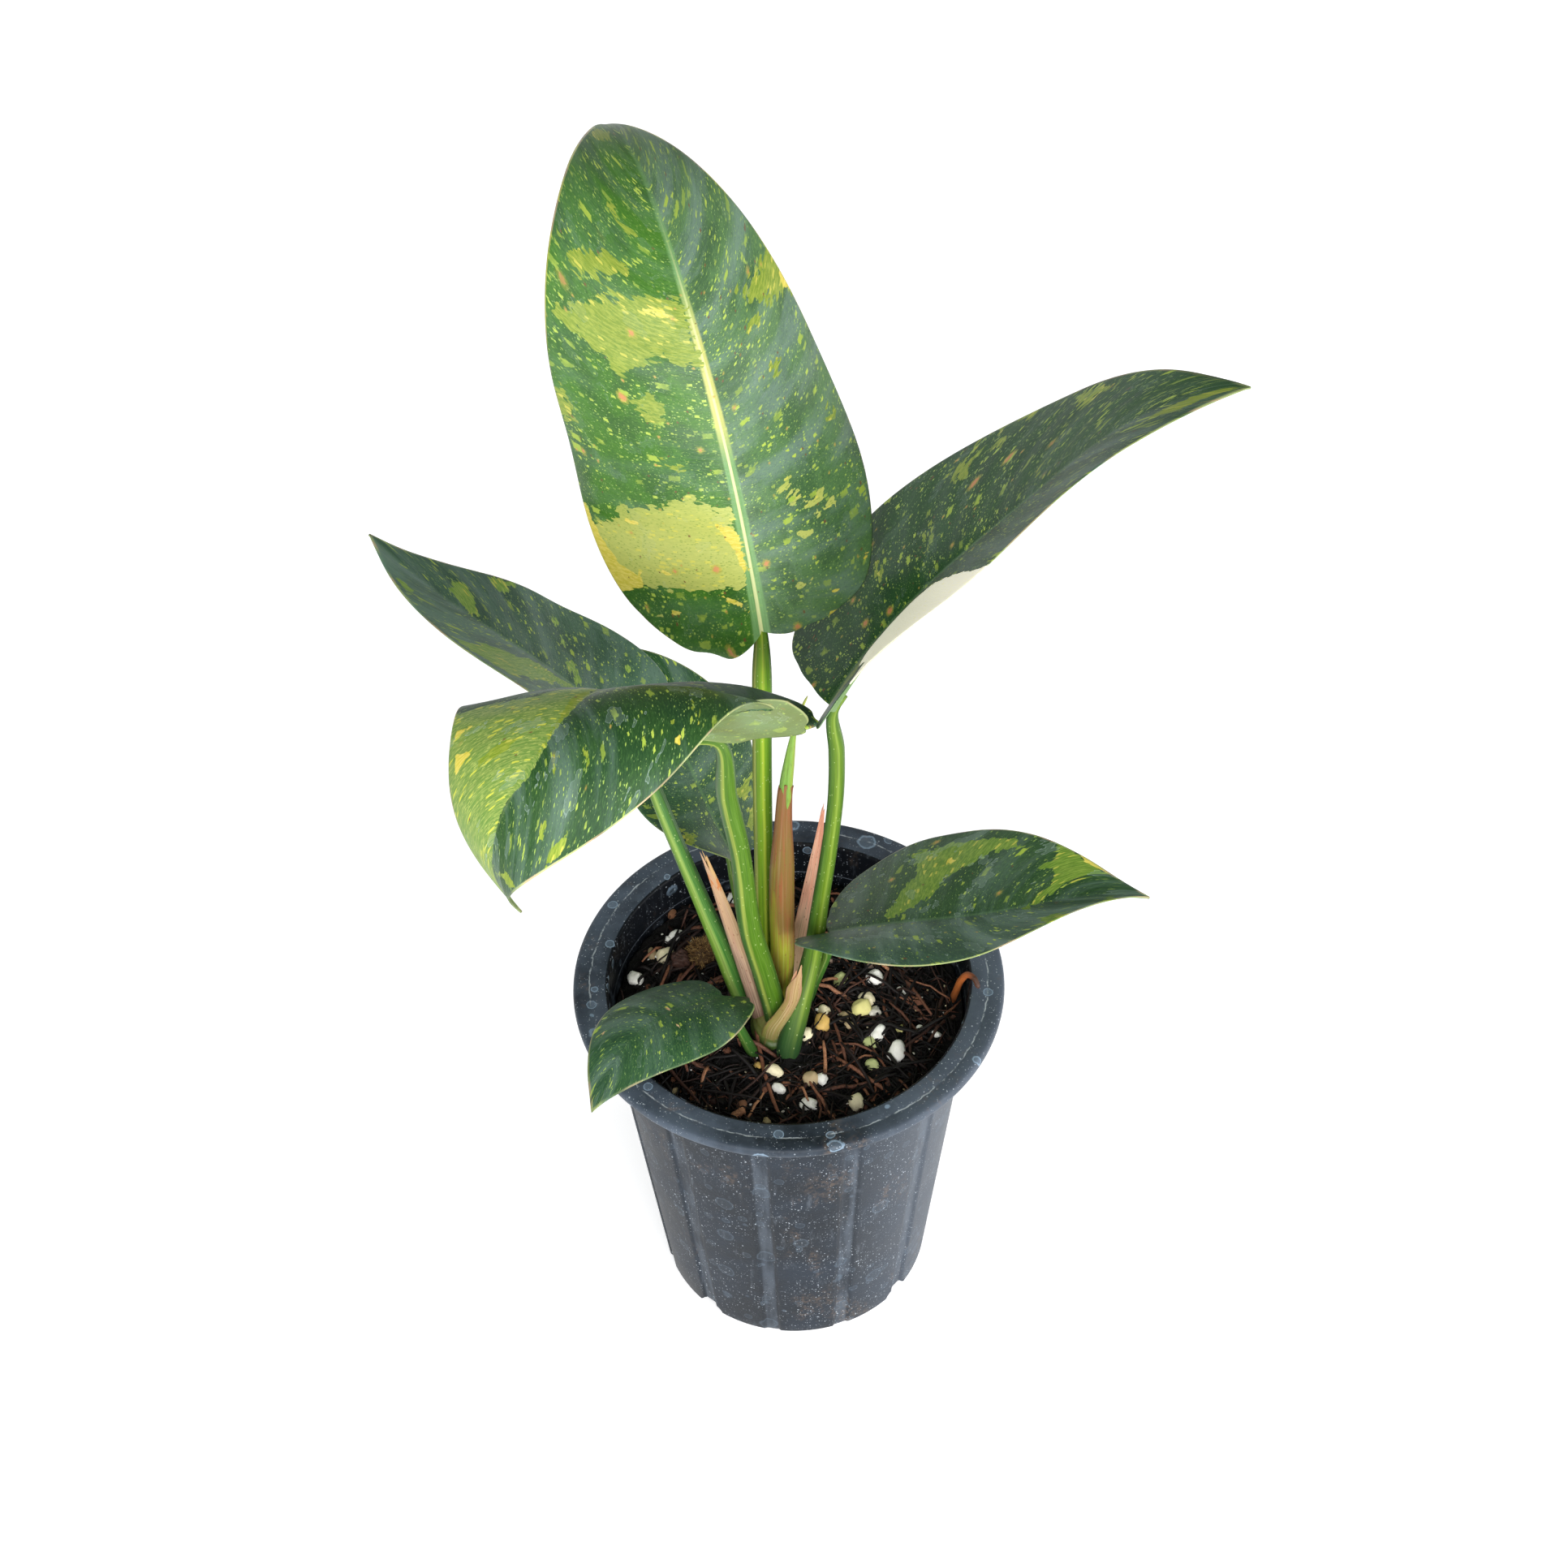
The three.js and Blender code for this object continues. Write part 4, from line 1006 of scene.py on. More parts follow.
@dataclass
class Shoot:
    """Plain tapering stem: the rolled new leaf, or the root over the rim."""

    name: str
    path: list[Point]
    radii: Row
    roll: float = 0.0
    knots: float = 0.0
    sides: int = 32

    def build(self) -> Piece:
        """Makes the stem, with a rolled seam or small knots on it.

        Returns:
            The finished object with a UV that runs round and along it.
        """
        rings = 90
        points = centripetal(self.path, rings)
        angle = full_turn(self.sides)
        v = np.linspace(0, 1, rings)[:, None]
        gap = wrapped(angle[None, :] - (0.5 - v * 1.6))
        shape = 1 - self.roll * np.exp(-((gap / 0.22) ** 2))
        shape = shape + self.knots * np.sin(5 * angle + v * 40) * np.sin(v * 55)
        reach = smooth(self.radii, v[:, 0])[:, None] * shape
        reach[-3:] *= np.array([0.9, 0.7, 0.35])[:, None]
        return round_tube(self.name, points, reach)


@dataclass(frozen=True)
class ShootSkin:
    """Finish of the new leaf or of the root: colour stops along it, and its roughness."""

    stops: Stops
    side: Colour
    rough: float = 0.4

    def material(self, name: str, length: float) -> Material:
        """Skin whose colour changes along the stem."""
        dye = Dye(name, "2D")
        wrap = dye.wrap()
        around, along, _ = dye.split(wrap)
        dye.colour = dye.ramp(dye.math("DIVIDE", along, length), self.stops)
        dye.lay(self.side, dye.fade(around, 0.5, 0.7), 0.6)
        grain = dye.fibres(wrap, 24, 0.3, 3)
        dye.lay((90, 60, 30), dye.fade(grain, 0.5, 0.8), 0.35)
        dye.bump(grain, 0.4, 0.2)
        return dye.finish(Roughness=self.rough)


@dataclass
class Crown:
    """Fleshy foot of the plant, with the ring scars of old sheaths."""

    centre: tuple[float, float] = (-4.5, -9)
    foot: float = 123
    profile: tuple[Point, ...] = ((9, 0), (11.5, 6), (10.5, 12), (7.5, 16), (3, 18))
    stretch: float = 0.85
    sides: int = 96

    def build(self) -> Piece:
        """Makes the crown.

        Returns:
            The finished object with the UV of its side.
        """
        rings = 60
        v = np.linspace(0, 1, rings)
        line = smooth(self.profile, v)
        angle = 2 * math.pi * np.arange(self.sides) / self.sides
        scar = 1 + 0.018 * np.sin(v * 46)[:, None] + 0.03 * np.sin(3 * angle + 1 + 2 * v[:, None])
        reach = line[:, :1] * scar
        x = self.centre[0] + self.stretch * reach * np.cos(angle)
        y = self.centre[1] + reach * np.sin(angle)
        z = self.foot + line[:, 1:] + 0 * x
        return loft("crown", np.stack([x, y, z], -1), np.linspace(0, 20, rings))

    def skin(self) -> Material:
        """Olive skin, greener low down, with brown papery scars."""
        dye = Dye("crown_skin", "2D")
        wrap = dye.wrap()
        _, along, _ = dye.split(wrap)
        dye.colour = dye.ramp(dye.math("DIVIDE", along, 20.0), (
            (0.1, 34, 50, 24), (0.45, 62, 84, 36), (0.7, 110, 116, 54), (0.95, 140, 130, 76),
        ))
        fibres = dye.fibres(wrap, 60, 0.25, 3)
        dye.lay((120, 86, 50), dye.fade(fibres, 0.5, 0.75), 0.4)
        dye.bump(fibres, 0.5, 0.3)
        return dye.finish(Roughness=0.45)


# Pot
BODY_FOOT_RADIUS = 48.7
BODY_SLOPE = 14.7 / 133
BAND_FOOT = 133


@dataclass(frozen=True)
class PotPlastic:
    """Slate grey moulded plastic, scuffed, with water rings and mineral dust, and painted light: sheen on the
    flute floors, a lighter right side and shade on the inner wall. Lengths are in mm.
    """

    body: Colour = (18, 24, 31)
    cloudy: Colour = (30, 38, 48)
    rim: Colour = (78, 88, 100)
    # Darker colour of the inner wall: painted shade.
    inner: Colour = (13, 16, 21)
    # Colour of the painted light on the right side.
    wear_and_light: Colour = (80, 88, 99)
    mineral: Colour = (166, 174, 182)
    inner_edge: float = BODY_FOOT_RADIUS - 1.25
    seam_radius: float = 69.2
    flute_turn: float = 101.0
    half_pitch: float = 15.0

    def material(self) -> Material:
        """Makes the plastic.

        Returns:
            The material, which reads Object coordinates only.
        """
        dye = Dye("pot_plastic")
        place = dye.place()
        x, y, z = dye.split(place)
        out = dye.math("SQRT", dye.plus(dye.times(x, x), dye.times(y, y)))
        cloud = dye.noise(place, 0.035, 4, 0.6)
        dye.colour = dye.mix(dye.fade(cloud, 0.35, 0.7), self.body, self.cloudy)
        dye.lay(self.rim, dye.fade(z, 142.0, 143.5), dye.fade(cloud, 0.2, 0.7))
        # Painted light: the plastic turns lighter towards the right side, where the light falls.
        dye.lay(self.wear_and_light, dye.fade(x, 8.0, 58.0), 0.6)
        # Painted shade: the inner wall above the mix is darker than the outside.
        wall = dye.plus(dye.times(z, BODY_SLOPE), self.inner_edge)
        inside = dye.fade(dye.minus(out, wall), 0.2, -0.2)
        dye.lay(self.inner, inside, dye.fade(z, 100.0, 110.0))
        self.painted_flute_sheen(dye, place)
        self.dirt(dye, place)
        self.rings(dye, place, z)
        self.seam(dye, place, out, z)
        rough = dye.plus(dye.times(cloud, 0.25), 0.32)
        dye.bump(dye.noise(place, 0.9, 4, 0.6), 0.25, 0.25)
        return dye.finish(Roughness=rough, Specular_IOR_Level=0.16)

    def painted_flute_sheen(self, dye: Dye, place) -> None:
        """Painted sheen on the floors of the flutes, and a thin line at the foot of the band."""
        x, y, z = dye.split(place)
        turn = dye.plus(dye.times(dye.math("ARCTAN2", y, x), 180 / math.pi), self.flute_turn + 360.0)
        turn = dye.node("Math", {0: turn, 1: self.half_pitch, 2: -self.half_pitch}, operation="WRAP")
        floor = dye.times(dye.near(turn, 0.0, 3.0, 2.0), dye.fade(z, 132.0, 130.0))
        streaky = dye.fade(dye.noise(dye.stretch(place, (1, 1, 0.15)), 0.3, 3), 0.25, 0.7)
        # Painted sheen: lighter streaky bands on the flute floors.
        dye.lay((98, 108, 120), floor, streaky, 0.34)
        dye.lay((112, 120, 130), dye.near(z, BAND_FOOT - 0.1, 0.3, 0.1), 0.5)

    def dirt(self, dye: Dye, place) -> None:
        """Grey scuffs, brown smudges and pale mineral flecks in three sizes."""
        scuff = dye.fade(dye.noise(dye.stretch(place, (1, 1, 0.25)), 0.35, 4, 0.65), 0.56, 0.8)
        dye.lay((108, 116, 126), scuff, 0.3)
        smudge = dye.fade(dye.noise(dye.stretch(place, (1, 1, 0.5)), 0.06, 4, 0.65), 0.54, 0.72)
        grain = dye.fade(dye.noise(place, 0.6, 4), 0.4, 0.65)
        dye.lay((112, 94, 78), smudge, grain, 0.4)
        patchy = dye.fade(dye.noise(place, 0.05, 3), 0.3, 0.6)
        for scale, share, size, strength in ((0.42, 0.24, 0.17, 0.8), (0.9, 0.24, 0.26, 0.85),
                                             (1.8, 0.16, 0.3, 0.8)):
            dye.lay(self.mineral, dye.dots(place, scale, share, size), strength, patchy)

    def rings(self, dye: Dye, place, z) -> None:
        """Bluish rings and films that dried drops left on the rim and the body."""
        wobble = dye.times(dye.minus(dye.noise(place, 0.5), 0.5), 0.12)
        high = dye.plus(dye.times(dye.fade(z, 138.0, 146.0), 0.5), 0.1)
        for scale, share, size in ((0.075, 0.3, 0.24), (0.16, 0.3, 0.26)):
            distance, chance = dye.cells(place, scale)
            distance = dye.plus(distance, wobble)
            chosen = dye.math("LESS_THAN", chance, share)
            # Here the mask is only the film that dried drops left.
            film_and_sheen = dye.times(dye.fade(distance, size, size - 0.03), 0.3)
            mark = dye.math("MAXIMUM", dye.near(distance, size, 0.045, 0.01), film_and_sheen)
            dye.lay((142, 164, 184), mark, chosen, high)

    def seam(self, dye: Dye, place, out, z) -> None:
        """Thin broken white line round the top of the rim."""
        sway = dye.times(dye.minus(dye.noise(place, 0.3, 3), 0.5), 1.4)
        away = dye.plus(dye.minus(out, self.seam_radius), sway)
        line = dye.fade(dye.math("ABSOLUTE", away), 0.36, 0.1)
        # Here the mask is only the wear that breaks the seam line.
        wear_and_light = dye.fade(dye.noise(place, 0.16, 5, 0.75), 0.44, 0.58)
        dye.lay((176, 184, 188), line, dye.fade(z, 146.5, 146.8), wear_and_light, 0.65)


@dataclass
class Pot:
    """Turned shell with twelve flutes and four drain notches. Lengths are in mm and angles in degrees."""

    height: float = 147
    rim: float = 75
    mouth: float = 62.7
    band: float = 64.6
    wall: float = 1.8
    floor: float = 2.6
    flutes: int = 12
    flute_first: float = -101
    flute_half: float = 2.3
    flute_edge: float = 1.3
    flute_depth: float = 0.9
    flute_top: float = 131.5
    notches: Row = (-131, -41, 49, 139)
    notch_width: float = 10.5
    notch_height: float = 5.6
    notch_start: float = 39.7
    steps: int = 540

    def outer(self, z):
        """Outer radius of the body at height z."""
        return BODY_FOOT_RADIUS + BODY_SLOPE * z

    def profile(self) -> list[tuple[float, float]]:
        """Radius and height of the wall's outline, from the middle underneath to the middle of the floor."""
        foot = [(0, 0), (26, 0), (46.2, 0), (47.3, 0.15), (48.2, 0.8), (self.outer(1.5) - 0.15, 1.5)]
        body = [(self.outer(z), z) for z in (*np.linspace(2.2, self.flute_top - 1.5, 30), self.flute_top,
                                             132.6)]
        band = [(self.outer(132.6) + 0.25, 132.95), *((self.band + out, z) for out, z in (
            (-0.1, 133.05), (0, 133.5), (0.3, 137), (0.6, 141.2), (1.0, 142.1), (2.2, 142.6)))]
        rim = [(self.rim - back, self.height - down) for back, down in (
            (3.4, 4.2), (1.3, 4.05), (0.5, 3.7), (0.1, 3.1), (0, 2.4), (0.1, 1.4), (0.5, 0.5), (1.2, 0.1),
            (2.2, 0),
            (5.4, 0), (5.8, 0.12), (6.2, 0))]
        lip = [(self.mouth + out, self.height - down) for out, down in (
            (1.4, 0), (0.7, 0.1), (0.2, 0.5), (0, 1.2), (-0.3, 5), (-0.9, self.height - BAND_FOOT))]
        inside = [(self.outer(z) - self.wall, z) for z in (110, 80, 40, 5, self.floor + 1)]
        floor = [(self.outer(0) - self.wall - 1, self.floor), (24, self.floor), (0, self.floor)]
        return [*foot, *body, *band, *rim, *lip, *inside, *floor]

    def build(self) -> Piece:
        """Makes the pot: a spun outline, flutes pushed in, notches cut.

        Returns:
            The finished object.
        """
        points = np.array([(r, 0, z) for r, z in self.profile()])
        mesh = bpy.data.meshes.new("pot_shell")
        mesh.from_pydata((points * MM).tolist(), [(i, i + 1) for i in range(len(points) - 1)], [])
        piece = bpy.data.objects.new("pot_shell", mesh)
        bpy.context.scene.collection.objects.link(piece)
        select_only(piece)
        bpy.ops.object.mode_set(mode="EDIT")
        bpy.ops.mesh.select_all(action="SELECT")
        bpy.ops.mesh.spin(steps=self.steps, angle=2 * math.pi, center=(0, 0, 0), axis=(0, 0, 1))
        bpy.ops.mesh.select_all(action="SELECT")
        bpy.ops.mesh.remove_doubles(threshold=1e-5)
        bpy.ops.mesh.normals_make_consistent(inside=False)
        bpy.ops.object.mode_set(mode="OBJECT")
        self.press_flutes(piece)
        for angle in self.notches:
            self.cut_notch(piece, math.radians(angle))
        select_only(piece)
        bpy.ops.object.shade_smooth_by_angle(angle=math.radians(38))
        return piece

    def press_flutes(self, piece: Piece) -> None:
        """Pushes the flutes into the outside of the body."""
        place = np.zeros(len(piece.data.vertices) * 3)
        piece.data.vertices.foreach_get("co", place)
        place = place.reshape(-1, 3) / MM
        r = np.hypot(place[:, 0], place[:, 1])
        pitch = 360 / self.flutes
        turn = np.degrees(np.arctan2(place[:, 1], place[:, 0])) - self.flute_first
        away = np.abs((turn + pitch / 2) % pitch - pitch / 2)
        share = np.clip((self.flute_half + self.flute_edge - away) / self.flute_edge, 0, 1)
        outside = np.clip((r - self.outer(place[:, 2]) + 1.0) / 0.6, 0, 1)
        end = np.clip((self.flute_top + 0.6 - place[:, 2]) / 1.0, 0, 1)
        dip = self.flute_depth * share * share * (3 - 2 * share) * outside * end
        place[:, :2] *= ((r - dip) / np.maximum(r, 1e-6))[:, None]
        piece.data.vertices.foreach_set("co", (place * MM).ravel())
        piece.data.update()

    def cut_notch(self, piece: Piece, angle: float) -> None:
        """Cuts one arched notch through the foot of the wall."""
        half = self.notch_width / 2
        arch_foot = self.notch_height - half * 0.7
        turn = np.linspace(0, math.pi, 17)
        outline = [(-half, -1), (half, -1), *zip(half * np.cos(turn), arch_foot + half * 0.7 * np.sin(turn))]
        along = np.array([math.cos(angle), math.sin(angle), 0])
        across = np.array([-math.sin(angle), math.cos(angle), 0])
        rings = [[along * r + across * w + np.array([0, 0, z]) for w,
                  z in outline] for r in (self.notch_start, 60)]
        cutter = loft("notch", np.array(rings), np.array([0.0, 20.0]))
        select_only(cutter)
        bpy.ops.object.mode_set(mode="EDIT")
        bpy.ops.mesh.select_all(action="SELECT")
        bpy.ops.mesh.normals_make_consistent(inside=False)
        bpy.ops.object.mode_set(mode="OBJECT")
        modifier = piece.modifiers.new("notch", "BOOLEAN")
        modifier.operation = "DIFFERENCE"
        modifier.object = cutter
        modifier.solver = "EXACT"
        select_only(piece)
        bpy.ops.object.modifier_apply(modifier=modifier.name)
        bpy.data.objects.remove(cutter)


def select_only(piece: Piece) -> None:
    """Makes a piece the only selected object and the active one."""
    bpy.ops.object.select_all(action="DESELECT")
    piece.select_set(True)
    bpy.context.view_layer.objects.active = piece


# Potting mix
def spin_matrix(turns: Point) -> Array:
    """Rotation by three angles in radians, about X, then Y, then Z."""
    return np.array(Matrix.Rotation(turns[2], 3, "Z") @ Matrix.Rotation(turns[1], 3, "Y")
                    @ Matrix.Rotation(turns[0], 3, "X"))


def ball(subdivisions: int) -> tuple[Array, list]:
    """Points and faces of a ball of radius 1.

    Args:
        subdivisions: how fine it is.

    Returns:
        Its points, and the vertex numbers of its faces.
    """
    bpy.ops.object.select_all(action="DESELECT")
    bpy.ops.mesh.primitive_ico_sphere_add(subdivisions=subdivisions, radius=1)
    made = bpy.context.object
    points = np.array([vertex.co for vertex in made.data.vertices])
    faces = [tuple(face.vertices) for face in made.data.polygons]
    bpy.data.objects.remove(made)
    return points, faces


class Heap:
    """Collects many small closed forms into one piece, each with its own tint."""

    def __init__(self) -> None:
        """Starts empty."""
        self.points: list[Array] = []
        self.faces: list = []
        self.tints: list[Array] = []
        self.count = 0

    def add(self, points: Array, faces: list, tint) -> None:
        """Adds one closed form.

        Args:
            points: its points in mm.
            faces: vertex numbers of its faces.
            tint: number, or row of three, that its material reads.
        """
        self.faces += [tuple(self.count + k for k in face) for face in faces]
        self.points.append(points)
        self.tints.append(np.tile(np.asarray(tint, float), (len(points), 1)))
        self.count += len(points)

    def add_stem(self, path: Array, radii: Array, sides: int, tint: float) -> None:
        """Adds a thin stem with closed ends.

        Args:
            path: its points in mm.
            radii: its radius at each point.
            sides: corners of its section.
            tint: number that its material reads.
        """
        flat = abs(path[-1, 2] - path[0, 2]) < np.ptp(path[:, 0]) + np.ptp(path[:, 1])
        _, front, right = path_frames(path, (0, 0, 1) if flat else (1, 0, 0))
        angle = 2 * math.pi * np.arange(sides) / sides
        ring = front[:, None] * np.cos(angle)[:, None] + right[:, None] * np.sin(angle)[:, None]
        rows = path[:, None] + ring * radii[:, None, None]
        points = np.vstack([rows.reshape(-1, 3), path[:1], path[-1:]])
        first, last = len(points) - 2, len(points) - 1
        top = (len(path) - 1) * sides
        faces = []
        for k in range(sides):
            after = (k + 1) % sides
            faces += [(i * sides + k, i * sides + after, (i + 1) * sides + after, (i + 1) * sides + k)
                      for i in range(len(path) - 1)]
            faces += [(after, k, first), (top + k, top + after, last)]
        self.add(points, faces, [tint])

    def build(self, name: str, soft: bool = True) -> Piece:
        """Makes the piece with the attribute tint.

        Args:
            name: the piece's name.
            soft: whether its faces shade smoothly.

        Returns:
            The finished object.
        """
        piece = new_object(name, np.vstack(self.points), self.faces, soft)
        tints = np.vstack(self.tints)
        put_attribute(piece, "tint", tints[:, 0] if tints.shape[1] == 1 else tints)
        return piece


@dataclass(frozen=True)
class EarthSkin:
    """Damp dark compost between the fibres."""

    def material(self) -> Material:
        """Makes the compost's material."""
        dye = Dye("mix_earth")
        place = dye.place()
        crumbs = dye.noise(place, 0.7, 5, 0.7)
        dye.colour = dye.ramp(crumbs, ((0.3, 3, 3, 3), (0.6, 12, 9, 8), (0.8, 28, 19, 15)))
        dye.bump(dye.noise(place, 1.3, 4, 0.7), 1.0, 1.2)
        return dye.finish(Roughness=0.85, Specular_IOR_Level=0.3)


@dataclass(frozen=True)
class FibreSkin:
    """Husk fibres, sticks and bark, from near black to tan, chosen by each one's tint."""

    name: str
    stops: Stops = (
        (0.0, 7, 6, 6), (0.45, 22, 16, 15), (0.66, 66, 43, 35), (0.86, 124, 80, 60),
        (1.0, 178, 128, 92),
    )

    def material(self) -> Material:
        """Makes the fibres' material."""
        dye = Dye(self.name)
        place = dye.place()
        grain = dye.times(dye.minus(dye.noise(place, 1.5, 3), 0.5), 0.3)
        tint = dye.plus(dye.attribute("tint", "Fac"), grain)
        dye.colour = dye.ramp(tint, self.stops)
        dye.bump(dye.noise(place, 3.0), 0.5, 0.2)
        return dye.finish(Roughness=0.6, Specular_IOR_Level=0.28)


@dataclass(frozen=True)
class PerliteSkin:
    """Porous mineral grains, each in its own tint, with patchy stains and small dark pits."""

    def material(self) -> Material:
        """Makes the grains' material."""
        dye = Dye("perlite")
        place = dye.place()
        stain = dye.fade(dye.noise(place, 0.35, 4, 0.6), 0.5, 0.75)
        dye.colour = dye.over(dye.attribute("tint"), (190, 164, 124), stain, 0.22)
        dye.lay((120, 104, 84), dye.dots(place, 1.7, 0.35, 0.22), 0.28)
        dye.bump(dye.noise(place, 1.6, 4, 0.6), 0.6, 0.35)
        return dye.finish(Roughness=0.8, Specular_IOR_Level=0.3)


class Grain(Enum):
    """Tints of the perlite grains."""

    WHITE = (252, 250, 242)
    CREAM = (248, 236, 198)
    YELLOW = (228, 220, 144)
    GREEN = (196, 204, 140)
    GREY = (220, 214, 202)
    TAN = (190, 168, 130)
    OCHRE = (214, 176, 98)
    BROWN = (128, 88, 62)
    PINK = (204, 172, 156)


# Grains that show in the photograph: x, y and radius in mm, and tint
GRAINS = (
    (-19.4, 49.9, 2.2, Grain.WHITE), (-39.8, 34.1, 2.2, Grain.WHITE), (-42.7, 32.3, 1.4, Grain.WHITE),
    (-48.5, 27.2, 1.9, Grain.TAN), (-43.9, 25.5, 2.9, Grain.CREAM), (-39.5, 20.4, 1.5, Grain.GREY),
    (-54.4, 14.6, 2.6, Grain.WHITE), (-41.6, 44.9, 2.0, Grain.BROWN), (18.1, 10.6, 2.5, Grain.GREEN),
    (30.5, 10.9, 2.6, Grain.WHITE), (28.9, 16.2, 1.6, Grain.PINK), (14.4, 20.1, 1.6, Grain.PINK),
    (39.7, 5.0, 1.9, Grain.WHITE), (27.0, 1.8, 2.5, Grain.CREAM), (24.8, -2.9, 2.9, Grain.YELLOW),
    (12.6, -3.6, 2.4, Grain.CREAM), (29.9, -3.8, 2.1, Grain.GREY), (19.0, -5.6, 2.2, Grain.TAN),
    (11.2, -10.4, 2.7, Grain.OCHRE), (20.6, -10.0, 1.6, Grain.TAN), (4.9, -14.9, 2.5, Grain.CREAM),
    (30.4, -13.6, 2.9, Grain.WHITE), (27.7, -17.5, 2.2, Grain.GREEN), (36.8, -22.4, 3.3, Grain.WHITE),
    (27.9, -26.4, 2.4, Grain.GREEN), (50.9, -14.3, 1.4, Grain.WHITE), (45.1, -11.6, 1.5, Grain.WHITE),
    (38.1, -10.6, 1.8, Grain.YELLOW), (-5.8, -30.6, 2.6, Grain.CREAM), (-4.0, -37.0, 2.1, Grain.WHITE),
    (7.0, -34.2, 2.2, Grain.TAN), (10.6, -34.0, 2.3, Grain.WHITE), (6.2, -43.6, 2.5, Grain.WHITE),
    (22.3, -43.5, 2.8, Grain.CREAM), (-28.5, -42.1, 1.3, Grain.TAN), (-40.2, -35.4, 1.3, Grain.TAN),
    (-17.1, -43.5, 2.0, Grain.BROWN), (-8.6, -49.4, 1.5, Grain.TAN), (-11.3, -27.2, 1.2, Grain.OCHRE),
)

# Twigs: points x, y and height above the mix, then thickness
TWIGS = (
    (((-11.7, -11.8, 2.8), (-11.0, -20.5, 2), (-8.2, -37.9, 1.2), (-4.2, -50.9, 0.4)), 1.5),
    (((-9.8, -33.6, 1.6), (-19.2, -29.5, 1.2), (-25.9, -25.7, 0.2)), 0.9),
    (((-2, -41, 0.6), (11, -26, 1.6), (28, -18.5, 0.6)), 1.0),
    (((6, -38.5, 0.8), (34, -33, 1.4)), 1.5),
    (((9, -39, 1.8), (9.6, -45, 1.6), (7.6, -51.5, 0.4)), 1.1),
    (((9.6, -46, 1.5), (14, -47.5, 1.0), (14.5, -51.5, 0.3)), 0.8),
    (((33, 6, 0.6), (34.4, -12, 1.8)), 1.3),
    (((24, -8, 1.6), (21, -24, 1), (18, -32, 0.2)), 1.1),
    (((10, -19.5, 0.8), (20, -21, 0.8)), 1.1),
    (((28, -42, 0.4), (30, -32, 1.2)), 1.0),
    (((41, 1, 0.6), (46, -5, 1.4)), 1.4),
    (((-36, 0, 0.4), (-50, 6, 1)), 0.9),
    (((-30, 28, 1), (-38, 38, 0.4)), 1.2),
)


